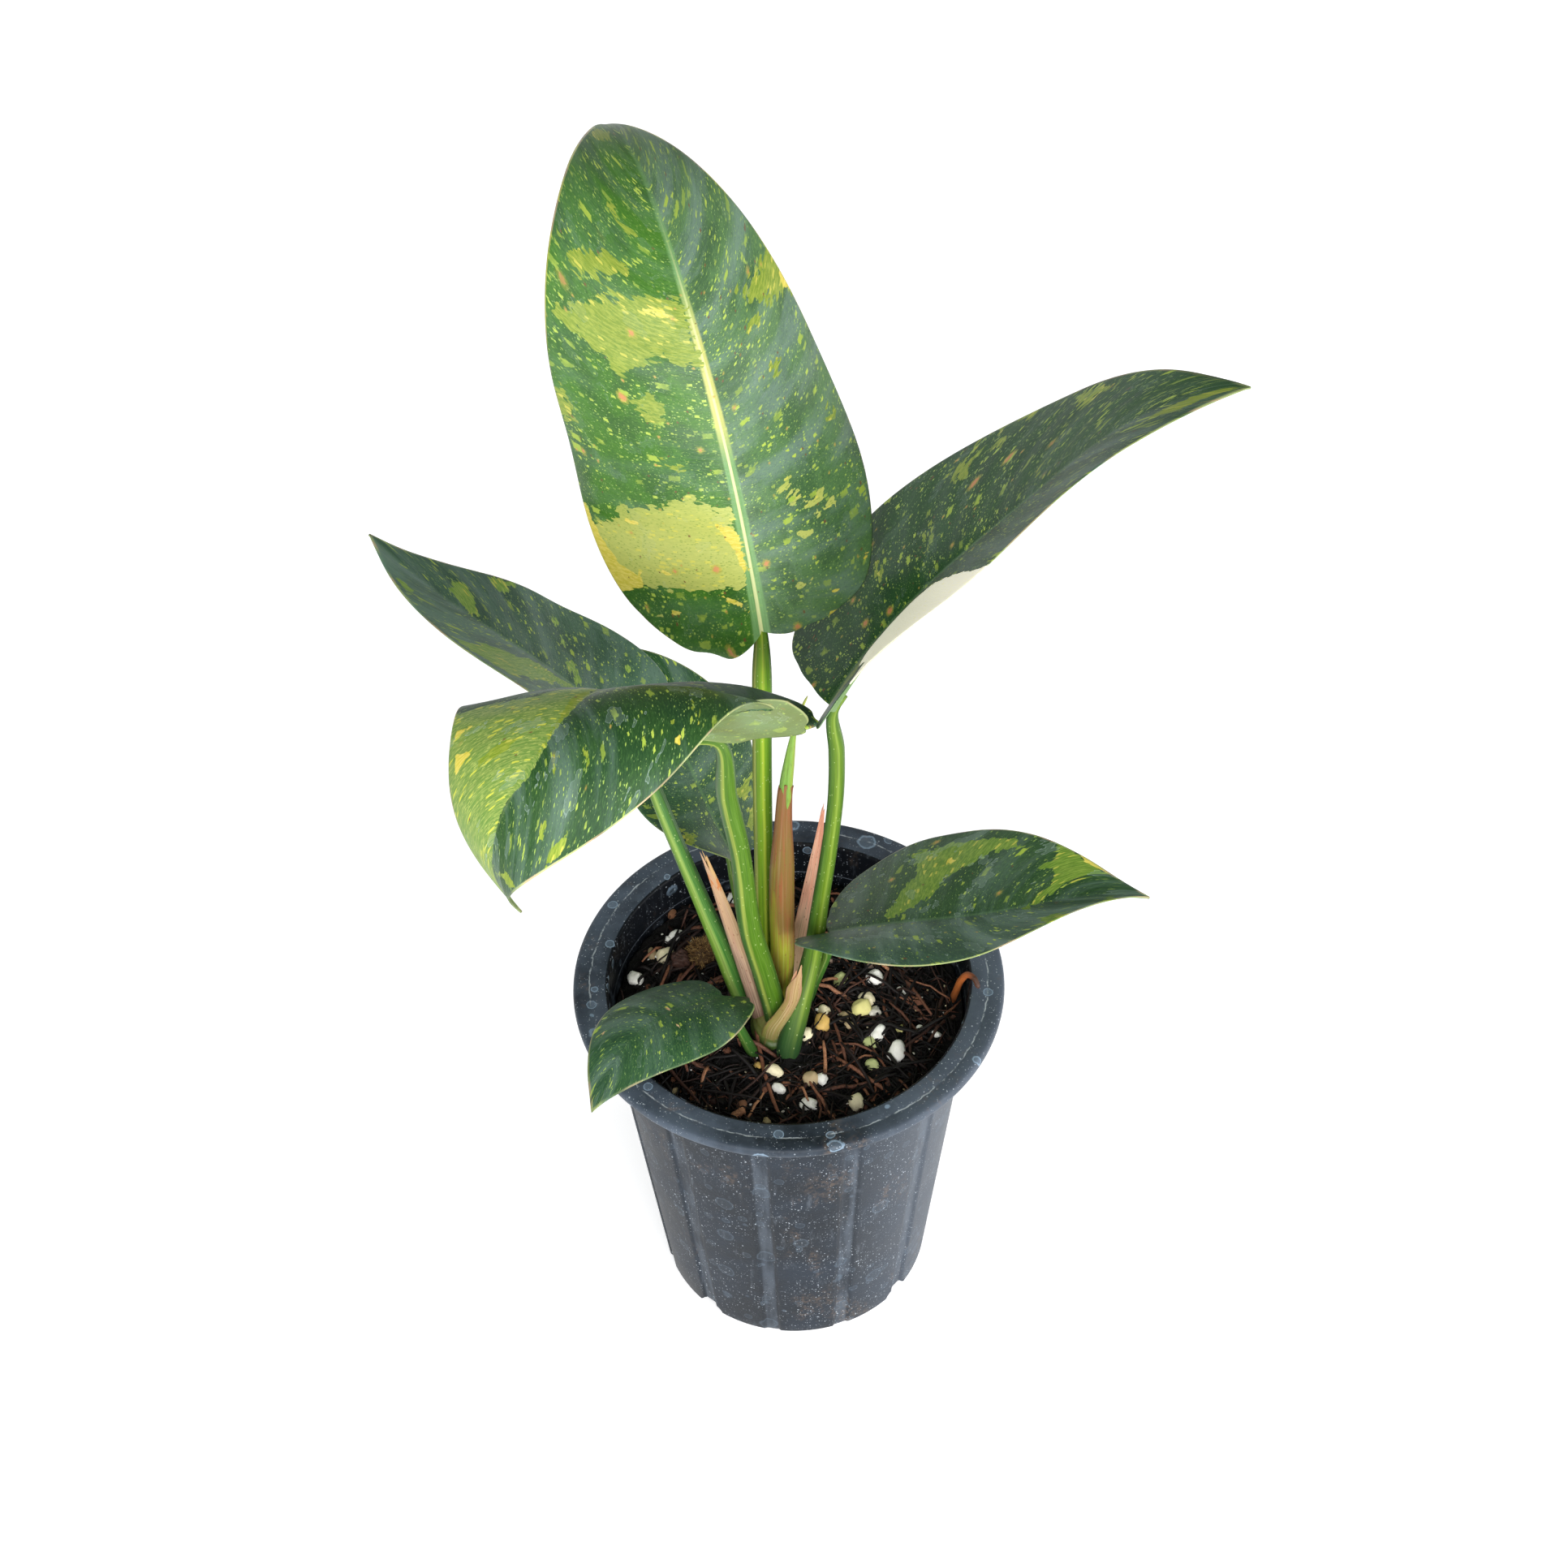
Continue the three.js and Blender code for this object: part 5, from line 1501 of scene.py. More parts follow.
@dataclass
class PottingMix:
    """Compost and all that lies in it. Lengths are in mm."""

    level: float = 131
    mound: float = 2.2
    mound_radius: float = 24
    relief: float = 0.9
    edge_drop: float = 1.6
    mouth: float = 62.7
    crown: tuple[float, float] = (-4.5, -9)
    moss_at: tuple[float, float] = (-30.6, 22.4)
    foot_radius: float = 46.9
    wall_slope: float = (61.8 - 46.9) / 130.4
    pot_floor: float = 2.6
    play: float = 0.84
    strand_reach: float = 60.6
    crown_reach: float = 11.5
    flakes: int = 620
    hidden_grains: int = 60
    grains: int = 330
    hairs: int = 700
    seed: int = 7

    def __post_init__(self) -> None:
        """Draws the small lumps of the surface."""
        self.chance = np.random.default_rng(self.seed)
        turn = self.chance.uniform(0, 2 * math.pi, 14)
        pace = 2 * math.pi / self.chance.uniform(2.6, 7.5, 14)
        self.waves = np.stack([np.cos(turn) * pace, np.sin(turn) * pace, self.chance.uniform(0, 6.28, 14)],
                              -1)

    def top(self, x, y):
        """Height of the surface at a place."""
        r = np.hypot(x, y)
        away = np.hypot(x - self.crown[0], y - self.crown[1])
        ripple = np.sin(0.31 * x + 1.1) * np.cos(0.27 * y - 0.6) + 0.6 * np.sin(0.73 * x - 0.59 * y)
        lumps = sum(np.sin(a * x + b * y + c) for a, b, c in self.waves) * 0.14
        mound = self.mound * np.exp(-((away / self.mound_radius) ** 2))
        return self.level + mound + self.relief * ripple - self.edge_drop * (r / self.mouth) ** 4 + lumps

    def inside(self, z: float) -> float:
        """Radius that the mix fills at height z."""
        return self.foot_radius + self.wall_slope * (z - self.pot_floor) - self.play

    def body(self) -> Piece:
        """Makes the compost body, closed down to the pot's floor."""
        rings, sides = 60, 200
        turn = 2 * math.pi * np.arange(sides) / sides
        reach = self.inside(self.level) * np.linspace(1, 0.01, rings)
        x, y = reach[:, None] * np.cos(turn), reach[:, None] * np.sin(turn)
        surface = np.stack([x, y, self.top(x, y)], -1)
        walls = []
        for z in (2.95, 40, 90):
            r = self.inside(z)
            walls.append(np.stack([r * np.cos(turn), r * np.sin(turn), z + 0 * turn], -1))
        rows = np.concatenate([np.array(walls), surface])
        return loft("potting_mix_body", rows, np.linspace(0, 190, len(rows)))

    def free(self, path: Array, margin: float = 0.0) -> bool:
        """Whether a path keeps inside the pot and off the stalks."""
        out, away = (np.hypot(*(path[:, :2] - centre).T) for centre in ((0, 0), self.crown))
        return bool(out.max() < self.strand_reach - margin and away.min() > self.crown_reach + margin)

    def strand(self, length: float, bend: float, arch: float, poke: float, points: int = 7) -> Array | None:
        """Random strand that lies on the mix with its ends in it.

        Args:
            length: its length.
            bend: how far its heading may turn, in radians.
            arch: height of its middle above the surface.
            poke: height of its far end above the surface.
            points: number of points.

        Returns:
            Its points, or None where it wouldn't fit.
        """
        r = 60 * math.sqrt(self.chance.random())
        turn = self.chance.uniform(0, 2 * math.pi)
        heading = self.chance.uniform(0, 2 * math.pi) + self.chance.uniform(-bend, bend) * np.linspace(0, 1,
                                                                                                       points)
        step = length / (points - 1)
        x = r * math.cos(turn) + np.concatenate([[0], np.cumsum(np.cos(heading[1:]) * step)])
        y = r * math.sin(turn) + np.concatenate([[0], np.cumsum(np.sin(heading[1:]) * step)])
        v = np.linspace(0, 1, points)
        smooth_top = self.top(x, y)
        line = smooth_top[0] + (smooth_top[-1] - smooth_top[0]) * v
        z = np.maximum(smooth_top * 0.5 + line * 0.5,
                       smooth_top) - 0.35 + arch * np.sin(math.pi * v) + poke * v**1.4
        path = np.stack([x, y, z], -1)
        return path if self.free(path) else None

    def strands(self, name: str, count: int, length, thick, tints, arch, poke, sides: int) -> Piece:
        """Many strands as one piece.

        Args:
            name: the piece's name.
            count: how many are tried.
            length: shortest and longest.
            thick: thinnest and thickest.
            tints: lowest and highest tint.
            arch: lowest and highest arch.
            poke: chance that an end stands up, and how far at most.
            sides: corners of their section.

        Returns:
            The finished object.
        """
        heap = Heap()
        draw = self.chance.uniform
        for _ in range(count):
            rise = draw(0.5, poke[1]) if self.chance.random() < poke[0] else 0.0
            path = self.strand(draw(*length), draw(0.05, 0.55), draw(*arch), rise)
            radius = draw(*thick) / 2
            tint = tints[0] + (tints[1] - tints[0]) * self.chance.random() ** 1.7
            if path is None:
                continue
            taper = np.array([0.8, 1, 1, 0.96, 0.92, 0.84, 0.6])
            heap.add_stem(path, radius * taper * draw(0.9, 1.1, 7), sides, tint)
        return heap.build(name)

    def bark(self) -> Piece:
        """Makes the bark flakes and crumbs of compost."""
        heap = Heap()
        points, faces = ball(1)
        draw = self.chance.uniform
        for _ in range(self.flakes):
            r, turn = 59 * math.sqrt(self.chance.random()), draw(0, 2 * math.pi)
            x, y = r * math.cos(turn), r * math.sin(turn)
            if math.hypot(x - self.crown[0], y - self.crown[1]) < 13:
                continue
            size = draw(0.5, 1.7) * np.array([draw(1, 2), 1, draw(0.35, 0.7)])
            shape = points * draw(0.72, 1.2, (len(points), 1)) * size
            shape = shape @ spin_matrix((draw(-0.6, 0.6), draw(-0.6, 0.6), draw(0, 6.28))).T
            heap.add(shape + (x, y, self.top(x, y) + size[2] * 0.3), faces,
                     [self.chance.random() ** 1.6 * 0.9])
        return heap.build("bark", soft=False)

    def perlite(self) -> Piece:
        """Makes the perlite: the grains that show, more behind the leaves, and crumbs."""
        heap = Heap()
        draw = self.chance.uniform
        fine, fine_faces = ball(3)
        coarse, coarse_faces = ball(1)
        for x, y, radius, tint in GRAINS:
            self.grain(heap, fine, fine_faces, x, y, radius, tint)
        whites = (Grain.WHITE, Grain.WHITE, Grain.CREAM, Grain.GREY, Grain.TAN)
        for number in range(self.grains):
            r, turn = 58 * math.sqrt(self.chance.random()), draw(0, 2 * math.pi)
            x, y = r * math.cos(turn), r * math.sin(turn)
            tint = whites[int(draw(0, 4.99))]
            hidden = y > 24 and x > -16 or x < -16 and y > 45
            if math.hypot(x - self.crown[0], y - self.crown[1]) < 14:
                continue
            if number < self.hidden_grains and hidden:
                self.grain(heap, fine, fine_faces, x, y, draw(1.2, 2.9), tint)
            elif number >= self.hidden_grains:
                self.grain(heap, coarse, coarse_faces, x, y, draw(0.22, 0.6), tint)
        return heap.build("perlite")

    def grain(self, heap: Heap, points, faces, x: float, y: float, radius: float, tint: Grain) -> None:
        """Adds one lumpy grain, a third of it in the mix.

        Args:
            heap: where it goes.
            points: the ball it is made from.
            faces: that ball's faces.
            x: its place.
            y: its place.
            radius: its mean radius.
            tint: its colour.
        """
        draw = self.chance.uniform
        waves = np.vstack([draw(-1, 1, (6, 3)) * 3.4, draw(-1, 1, (6, 3)) * 9])
        heights = np.repeat([0.055, 0.022], 6)
        lumps = sum(h * np.sin(points @ wave + k) for k, (h, wave) in enumerate(zip(heights, waves)))
        pits = unit(draw(-1, 1, (5, 3)))
        dents = sum(-0.09 * np.exp(-((1 - points @ pit) ** 2) / 0.02) for pit in pits)
        shape = points * (1 + lumps + dents)[:, None] * (1.1, draw(0.78, 1.02),
                                                         draw(0.78, 0.95)) * radius * 1.12
        shape = shape @ spin_matrix((draw(-0.4, 0.4), draw(-0.4, 0.4), draw(0, 6.28))).T
        heap.add(shape + (x, y, self.top(x, y) + radius * 0.34), faces, linear(tint.value)[:3])

    def twigs(self) -> Piece:
        """Makes the twigs that show in the photograph."""
        heap = Heap()
        for path, thick in TWIGS:
            points = centripetal([(x, y, lift) for x, y, lift in path], 22)
            points[:, 2] += self.top(points[:, 0], points[:, 1]) * 0.4 + self.top(*points[:2,
                                                                                          :2].mean(0)) * 0.6
            points[:, 2] = np.maximum(points[:, 2] - 0.4, self.top(points[:, 0], points[:, 1]) - 0.2)
            points[[0, -1], 2] = self.top(points[[0, -1], 0], points[[0, -1], 1]) - 0.3
            points[:, :2] += np.cumsum(self.chance.normal(0, 0.12, (22, 2)), axis=0)
            knots = 1 + 0.16 * np.sin(np.arange(22) * 1.9) * np.sin(np.arange(22) * 0.7)
            heap.add_stem(points, thick / 2 * knots * np.linspace(1.05, 0.75, 22), 9,
                          self.chance.uniform(0.72, 0.9))
        return heap.build("twigs")

    def moss(self) -> Piece:
        """Makes the tuft: a low dome with curly hairs all over it."""
        heap = Heap()
        draw = self.chance.uniform
        points, faces = ball(3)
        x0, y0 = self.moss_at
        foot = self.top(x0, y0)
        dome = points * (4.8, 4.2, 9.0) * (1 + 0.08 * np.sin(points @ (7, 5, 9)))[:, None]
        heap.add(dome + (x0, y0, foot), faces, [0.35])
        for _ in range(self.hairs):
            turn, lift = draw(0, 2 * math.pi), draw(0.02, 1.5)
            out = np.array([math.cos(turn) * math.cos(lift), math.sin(turn) * math.cos(lift), math.sin(lift)])
            start = out * (4.5, 3.9, 8.6)
            curl = draw(-1, 1, 3)
            v = np.linspace(0, 1, 6)[:, None]
            path = start + out * v * draw(1, 2.4) + curl * v**2 * draw(0.6, 1.8)
            path = path + 0.25 * np.sin(v * draw(6, 11) + draw(0, 6)) * draw(-1, 1, 3)
            heap.add_stem(path + (x0, y0, foot), draw(0.09, 0.17) * np.linspace(1, 0.4, 6), 4, draw(0.3, 1))
        return heap.build("moss_tuft")

    def chunk(self) -> Piece:
        """Makes the flaky chunk of bark that stands beside the moss, and the wood chip by the front rim."""
        heap = Heap()
        points, faces = ball(4)
        for x, y, size, tint in ((-37.6, 20.6, (3.2, 2.6, 5.6), 0.62), (-18.4, -47.2, (2.6, 1.1, 1.5), 0.95)):
            layers = 1 + 0.07 * np.sin(points[:, 2] * 17 + 2 * np.sin(points[:, 0] * 5))
            blocky = 1 / np.maximum(np.abs(points).max(1), 0.6) ** 0.7
            rough = 1 + 0.05 * np.sin(points @ (9, 13, 4)) + 0.04 * np.sin(points @ (-15, 7, 21))
            shape = points * (layers * blocky * rough)[:, None] * size
            shape = shape @ spin_matrix((0.2, -0.25, x)).T
            heap.add(shape + (x, y, self.top(x, y) + size[2] * 0.45), faces, [tint])
        return heap.build("bark_chunks")


def build_mix() -> None:
    """Builds the potting mix and all that lies in it."""
    mix = PottingMix()
    fibre = FibreSkin("husk_fibre").material()
    dress(mix.body(), EarthSkin().material(), ["potting_mix"])
    thin = mix.strands("fibres", 1500, (6, 24), (0.3, 0.75), (0.0, 0.72), (0.2, 2.2), (0.2, 4.0), 5)
    thick = mix.strands("sticks", 460, (7, 28), (0.7, 1.5), (0.2, 1.0), (0.8, 3.2), (0.3, 6.0), 7)
    for piece in (thin, thick, mix.bark(), mix.chunk(), mix.twigs()):
        dress(piece, fibre, [])
    dress(mix.perlite(), PerliteSkin().material(), [])
    hair = FibreSkin("moss_hair", (
        (0.0, 36, 26, 16), (0.35, 74, 54, 32), (0.7, 134, 102, 60), (1.0, 190, 156, 100),
    ))
    dress(mix.moss(), hair.material(), [])


# Studio
@dataclass
class Studio:
    """Pale floor, near-white surroundings and soft lights."""

    floor_size: float = 12.0
    sky: float = 0.34
    glow: float = 1.9
    glow_from: Point = (0.0, -0.97, 0.22)
    floor_glow: float = 0.4
    plain: float = 0.9
    tone: Row = (0.97, 0.985, 1.0, 1.0)

    def build(self) -> None:
        """Makes the floor, the world and four area lights."""
        bpy.ops.mesh.primitive_plane_add(size=self.floor_size, location=(0, 0, 0))
        floor = bpy.context.object
        floor.name = "studio_floor"
        dye = Dye("studio_floor")
        dye.colour = (244, 244, 244)
        glow = {"Emission_Color": (255, 255, 255), "Emission_Strength": self.floor_glow}
        floor.data.materials.append(dye.finish(Roughness=0.9, **glow))
        self.surroundings()
        self.light("key", (-0.4, -1.3, 0.95), 0.8, 10)
        self.light("front", (0.65, -1.45, 0.62), 0.8, 15)
        self.light("side", (1.35, -0.35, 0.5), 0.7, 10)
        self.light("back", (-0.8, 1.35, 0.6), 0.9, 3)
        bpy.context.scene.view_settings.view_transform = "Standard"

    def surroundings(self) -> None:
        """Makes a pale world that glows softly from the front, and shows plain to the camera."""
        world = bpy.data.worlds.new("studio")
        world.use_nodes = True
        nodes = Nodes(world.node_tree)
        backdrop = nodes.tree.nodes["Background"]
        place = nodes.node("TexCoord", {}, "Generated")
        front = tuple(unit(np.array(self.glow_from)))
        facing = nodes.node("VectorMath", {0: place, 1: front}, "Value", operation="DOT_PRODUCT")
        feeds = {"Value": facing, "From Min": 0.55, "To Min": self.sky, "To Max": self.sky + self.glow}
        glow = nodes.node("MapRange", feeds, interpolation_type="SMOOTHSTEP")
        seen = nodes.node("LightPath", {}, "Is Camera Ray")
        nodes.feed(backdrop.inputs["Strength"], nodes.node("Mix", {0: seen, 2: glow, 3: self.plain}))
        backdrop.inputs["Color"].default_value = self.tone
        bpy.context.scene.world = world

    def light(self, name: str, at: Point, size: float, power: float) -> None:
        """Adds one square area light that points at the plant.

        Args:
            name: the light's name.
            at: its place in metres.
            size: its side in metres.
            power: its power in watts.
        """
        data = bpy.data.lights.new(name, "AREA")
        data.size = size
        data.energy = power
        lamp = bpy.data.objects.new(name, data)
        lamp.location = at
        lamp.rotation_euler = (Vector((0, 0, 0.2)) - Vector(at)).to_track_quat("-Z", "Y").to_euler()
        bpy.context.scene.collection.objects.link(lamp)


@dataclass
class ViewCamera:
    """Camera at the photograph's viewing angle. Lengths are in mm and angles in degrees."""

    distance: float = 1056
    elevation: float = 46.9
    look_x: float = 0.2
    look_z: float = 245.6
    roll: float = -1.52
    focal: float = 4000 / 1932 * 36
    sensor: float = 36

    def build(self) -> None:
        """Makes the camera and sets it as the scene's camera."""
        lift = math.radians(self.elevation)
        back = np.array([0, -math.cos(lift), math.sin(lift)])
        level = np.array([1.0, 0, 0])
        above = np.cross(level, -back)
        turn = math.radians(self.roll)
        right = math.cos(turn) * level + math.sin(turn) * above
        up = -math.sin(turn) * level + math.cos(turn) * above
        at = np.array([self.look_x, 0, self.look_z]) + self.distance * back
        data = bpy.data.cameras.new("camera")
        data.lens = self.focal
        data.sensor_width = self.sensor
        camera = bpy.data.objects.new("camera", data)
        matrix = Matrix([[*row] for row in np.column_stack([right, up, back, at * MM])]).to_4x4()
        camera.matrix_world = matrix
        bpy.context.scene.collection.objects.link(camera)
        bpy.context.scene.camera = camera


# The leaves, from the highest to the lowest
def vein_streak(mark: Mark, t: float, start: float, end: float, width: float = 0.011) -> Patch:
    """Narrow patch along a side vein.

    Args:
        mark: its kind.
        t: share along the leaf at its middle.
        start: share across the half where it starts, minus on the left.
        end: share across where it ends.
        width: its width as a share of the leaf's length.

    Returns:
        The patch.
    """
    across = np.linspace(start, end, 5)
    drift = 0.09 * (np.abs(across) ** 1.3 - abs((start + end) / 2) ** 1.3)
    swell = width / 2 * np.array([0.15, 0.8, 1, 0.8, 0.15])
    outline = [*zip(t + drift - swell, across), *reversed(list(zip(t + drift + swell, across)))]
    return Patch(mark, tuple((float(a), float(b)) for a, b in outline))


def streaks(mark: Mark, *places: Row) -> tuple[Patch, ...]:
    """Narrow patches of one kind, each by its place along and its two ends across, in percent."""
    return tuple(vein_streak(mark, *(number / 100 for number in place)) for place in places)


def sector(mark: Mark, *outline: tuple[float, float]) -> Patch:
    """Patch of one kind with an outline given in percent, along the leaf and across the half."""
    return Patch(mark, tuple((along / 100, across / 100) for along, across in outline))


def leaf_a() -> Leaf:
    """Tall leaf in the middle, bright green with two lime bands on its left half."""
    lime, bright = Mark.LIME, Mark.BRIGHT
    patches = (
        sector(lime, (64, -93), (66, -60), (66, -11), (65, -2), (57, -2), (59, -28), (57, -50), (62, -75)),
        sector(lime, (66, 110), (60, 110), (60, 80), (61, 55), (63, 50), (64, 83)),
        sector(bright, (64, 110), (60, 110), (60, 93), (62, 96)),
        sector(lime, (55, -110), (56, -95), (52, -88), (53, -110)),
        sector(lime, (54, -49), (54, -35), (52, -29), (50, -35)),
        sector(lime, (86, -90), (90, -90), (91, -50), (88, -50)),
        sector(lime, (37, -110), (36, -80), (39, -69), (38, -40), (39, -25), (35, -7), (28, -2), (18, -5),
               (21, -28), (24, -71), (27, -92), (26, -110)),
        sector(bright, (40, -110), (39.5, -97), (34, -93), (30, -87), (26.5, -74), (24.5, -78), (25, -110)),
        sector(bright, (34, -17), (31, -3), (19, -4), (26, -6), (32, -14)),
        sector(bright, (20, -30), (15, -13), (12, -9), (17, -24)),
        sector(bright, (13, 110), (5, 110), (11, 92)),
        sector(lime, (69, -86), (70, -78), (69.8, -66), (70.6, -55), (70, -40), (69, -40), (68, -52),
               (67.8, -68), (68.4, -80)),
        *streaks(lime, (59, 40, 56), (75, -54, -39), (74, -44, -31), (53, 50, 58), (45, 80, 90),
                 (19, -90, -82), (45, -39, -32), (44, -29, -22), (34, 47, 61), (31, 50, 57), (29, 41, 48),
                 (37, 25, 37), (35, 35, 42), (33, 62, 70), (19, 36, 52)),
        *streaks(bright, (64, -33, -8), (18, -74, -65), (36, -70, -61), (29, -52, -46), (29, -32, -26),
                 (26.5, -59, -50), (27.5, -77, -71), (25, 92, 99), (18, 73, 81)),
    )
    # The greyer right half colour partly holds painted sheen.
    skin = LeafSkin((62, 113, 26), (82, 118, 72), flecks=0.2, spots=0.2, haze=0.3, film_and_sheen=(0.18, 0.58),
                    rib=(124, 168, 104), rib_width=5.4, rib_share=0.85, rib_line=0.85, rib_cream=0.9,
                    light=(112, 156, 58), gloss=0.55, low_lime_sheen=0.6, margin=(206, 200, 104), margin_share=0.8)
    return Leaf(
        "blade_a", (-5.6, 9, 306.6), 204, (75, 58, 19.6, -36.5), (114, 113, 107, 107), (-14, -5, 6, 4),
        Half(59, 11, (-25, -17, 11), (-27, -49, -13)), Half(51, 4, (-12, -11, 1), (-20, -33, -20)),
        skin, patches, vein_gap=23, ripple=0.5,
    )


def leaf_b() -> Leaf:
    """Leaf to the right, dark green with a cream sector across its near half."""
    lime, bright = Mark.LIME, Mark.BRIGHT
    patches = (
        sector(bright, (60, 110), (57, 94), (51, 45), (45, 15), (38, 6), (30, 8), (25, 15), (27, 45),
               (33, 70), (32, 110)),
        sector(lime, (27, 20), (12, 25), (10, 45), (20, 60), (28, 60)),
        sector(lime, (67, -92), (71, -95), (72, -88), (69, -79)),
        sector(lime, (51, -87), (53, -89), (53, -72), (51, -70)),
        sector(lime, (84, 45), (90, 25), (95, 0), (98.5, -20), (97, 50), (88, 75)),
        *streaks(lime, (60, -108, -95), (57, -108, -97), (55, -108, -96), (45.5, -50, -27), (36.5, -59, -43),
                 (56.5, -86, -77), (66.5, -33, -22)),
    )
    skin = LeafSkin((28, 74, 26), (40, 78, 48), flecks=0.2, spots=0.22, haze=0.35, film_and_sheen=(0.1, 0.36),
                    through=0.33, rib_width=3.2, light=(86, 126, 66),
                    bright=((252, 244, 208), (255, 250, 232)))
    return Leaf(
        "blade_b", (15.4, -4.5, 286.2), 179, (48, 44, 49, 22), (37, 12, -8, -25), (-25, -14, -7, 5),
        Half(53, 1, (1, 5, 3)), Half(48, 3, (33, 17, 0)), skin, patches,
    )


def leaf_c() -> Leaf:
    """Leaf to the left, dark grey green with small lime patches."""
    lime = Mark.LIME
    patches = (
        sector(lime, (78, 60), (75, 68), (74, 54), (72, 11), (74, 5), (77, 15), (79, 35)),
        sector(lime, (69, 93), (63, 98), (64, 86), (66, 72), (68, 80)),
        sector(lime, (66, -75), (65, -45), (58, -15), (44, -2), (51, -29), (56, -61), (58, -86), (67, -95)),
        sector(lime, (47, 24), (45, 31), (41, 12), (43, 3)),
        sector(lime, (83, -91), (82, -78), (80, -72), (79, -89)),
        *streaks(lime, (61, 71, 82), (49, 44, 57), (47, 53, 66), (51, 65, 82), (30, 61, 72)),
    )
    # The lighter slate green of the left half colour partly holds painted sheen.
    skin = LeafSkin((98, 128, 108), (68, 100, 76), flecks=0.14, haze=0.3, film_and_sheen=(0.55, 0.4), rib_width=2.6,
                    light=(84, 118, 84), lime=((112, 148, 60), (150, 174, 82)), edge_steps=0.6)
    return Leaf(
        "blade_c", (-46.4, 19, 242.2), 118, (57, 42, 27, 22), (162, 168, 155, 136), (3, 14, 14, 16),
        Half(41, 6, (7, 16, 14)), Half(44, 7, (2, -5, -6)), skin, patches,
    )


def leaf_d() -> Leaf:
    """Leaf that arches forward in front, with a pale streaky end."""
    lime, pale, bright = Mark.LIME, Mark.PALE, Mark.BRIGHT
    patches = (
        sector(pale, (50, 6), (56, 0), (66, -2), (74, -8), (80, 5), (88, -5), (95, 20), (95, 110), (66, 110),
               (62, 80), (58, 35)),
        sector(bright, (71, 92), (71, 69), (74, 88)),
        sector(bright, (68, 98), (66, 72), (69, 93)),
        sector(lime, (72, 60), (68, 25), (71, 34), (73, 59)),
        sector(lime, (58, 8), (50, 6), (56, 1), (67, -2), (72, -2), (65, 2)),
        sector(lime, (71, -78), (72, -93), (76, -98), (74, -84)),
        sector(lime, (89, -43), (84, -72), (83, -96), (85, -92)),
        *streaks(lime, (52, -90, -71), (65, -50, -36), (69, -32, -16), (74.5, -75, -53), (55, -78, -74)),
        *streaks(bright, (55.5, -90, -83)),
    )
    skin = LeafSkin((44, 78, 36), (44, 76, 44), flecks=0.13, spots=0.06, haze=0.9, film_and_sheen=(0.4, 0.5),
                    edge_steps=0.35, rib=(140, 160, 92), rib_width=2.0, rib_share=0.6, rib_line=0.4,
                    back=(112, 112, 62), light=(90, 134, 66), margin=(186, 192, 132), margin_share=0.9)
    return Leaf(
        "blade_d", (-20.7, -31, 301.3), 154, (16, 61, -3, -66, -125), (185, 225, 237, 211, 163),
        (0, 1, -21, -29),
        Half(45, 28, (63, 41, 16, -3), (36, -31, -54, -35)),
        Half(49, 38, (-5, -14, -12, 16), (-22, -38, -37, -14)),
        skin, patches, rib_depth=(1.5, 0.3),
    )


def leaf_e() -> Leaf:
    """Small leaf behind, dark green with a pale sprinkle."""
    lime = Mark.LIME
    patches = (
        sector(lime, (32, 57), (35, 72), (36, 90), (30, 88), (29, 62)),
        sector(lime, (25, 75), (27, 89), (18, 89), (20, 71)),
        sector(lime, (36, -79), (32, -74), (31, -91), (33, -110)),
    )
    skin = LeafSkin((42, 76, 46), (44, 80, 46), flecks=0.16, haze=0.2, rib_width=2.4)
    return Leaf(
        "blade_e", (-19.5, 30.5, 180), 98, (42, 50, 30, 8), (126, 126, 147, 156), (36, 13, 0, 1),
        Half(34, 5, (33, 9, -4)), Half(32, 5, (0, -6, -6)), skin, patches,
    )


def leaf_f() -> Leaf:
    """Low leaf to the right, with a hooked lime patch and a pale tip sector."""
    lime, bright = Mark.LIME, Mark.BRIGHT
    patches = (
        sector(lime, (40, -88), (46, -84), (52, -88), (65, -90), (66, -80), (59, -72), (50, -44), (45, -22),
               (35, -9), (31, -10), (37, -38), (42, -55), (42, -73)),
        sector(lime, (71, -110), (77, -96), (85, -92), (82, -67), (77, -8), (73, 18), (71, 14), (77, -37),
               (75, -65), (72, -57), (74, -82)),
        sector(bright, (75, -110), (83, -110), (85, -95), (79, -92)),
        sector(lime, (72, 64), (74, 81), (76, 110), (84, 92), (94, 9), (85, 110), (71, 110)),
        sector(bright, (50, -67), (52, -72), (53, -68), (50, -60)),
        *streaks(lime, (45, 73, 81)),
    )
    skin = LeafSkin((50, 80, 46), (68, 98, 78), flecks=0.09, spots=0.09, haze=0.9, film_and_sheen=(0.3, 0.7),
                    edge_steps=0.6, rib_width=2.6, lime=((96, 130, 46), (132, 158, 64)), margin_share=0.7)
    return Leaf(
        "blade_f", (14.6, -5.1, 176.6), 110, (16, 9, 20, -12), (-3, -3, -5, 0), (-25, -8, 1, -16),
        Half(44, 3, (-3, 5, 15), (16, -9, -1)), Half(33, 11, (22, 22, 33), (-28, -13, 0)), skin, patches,
    )


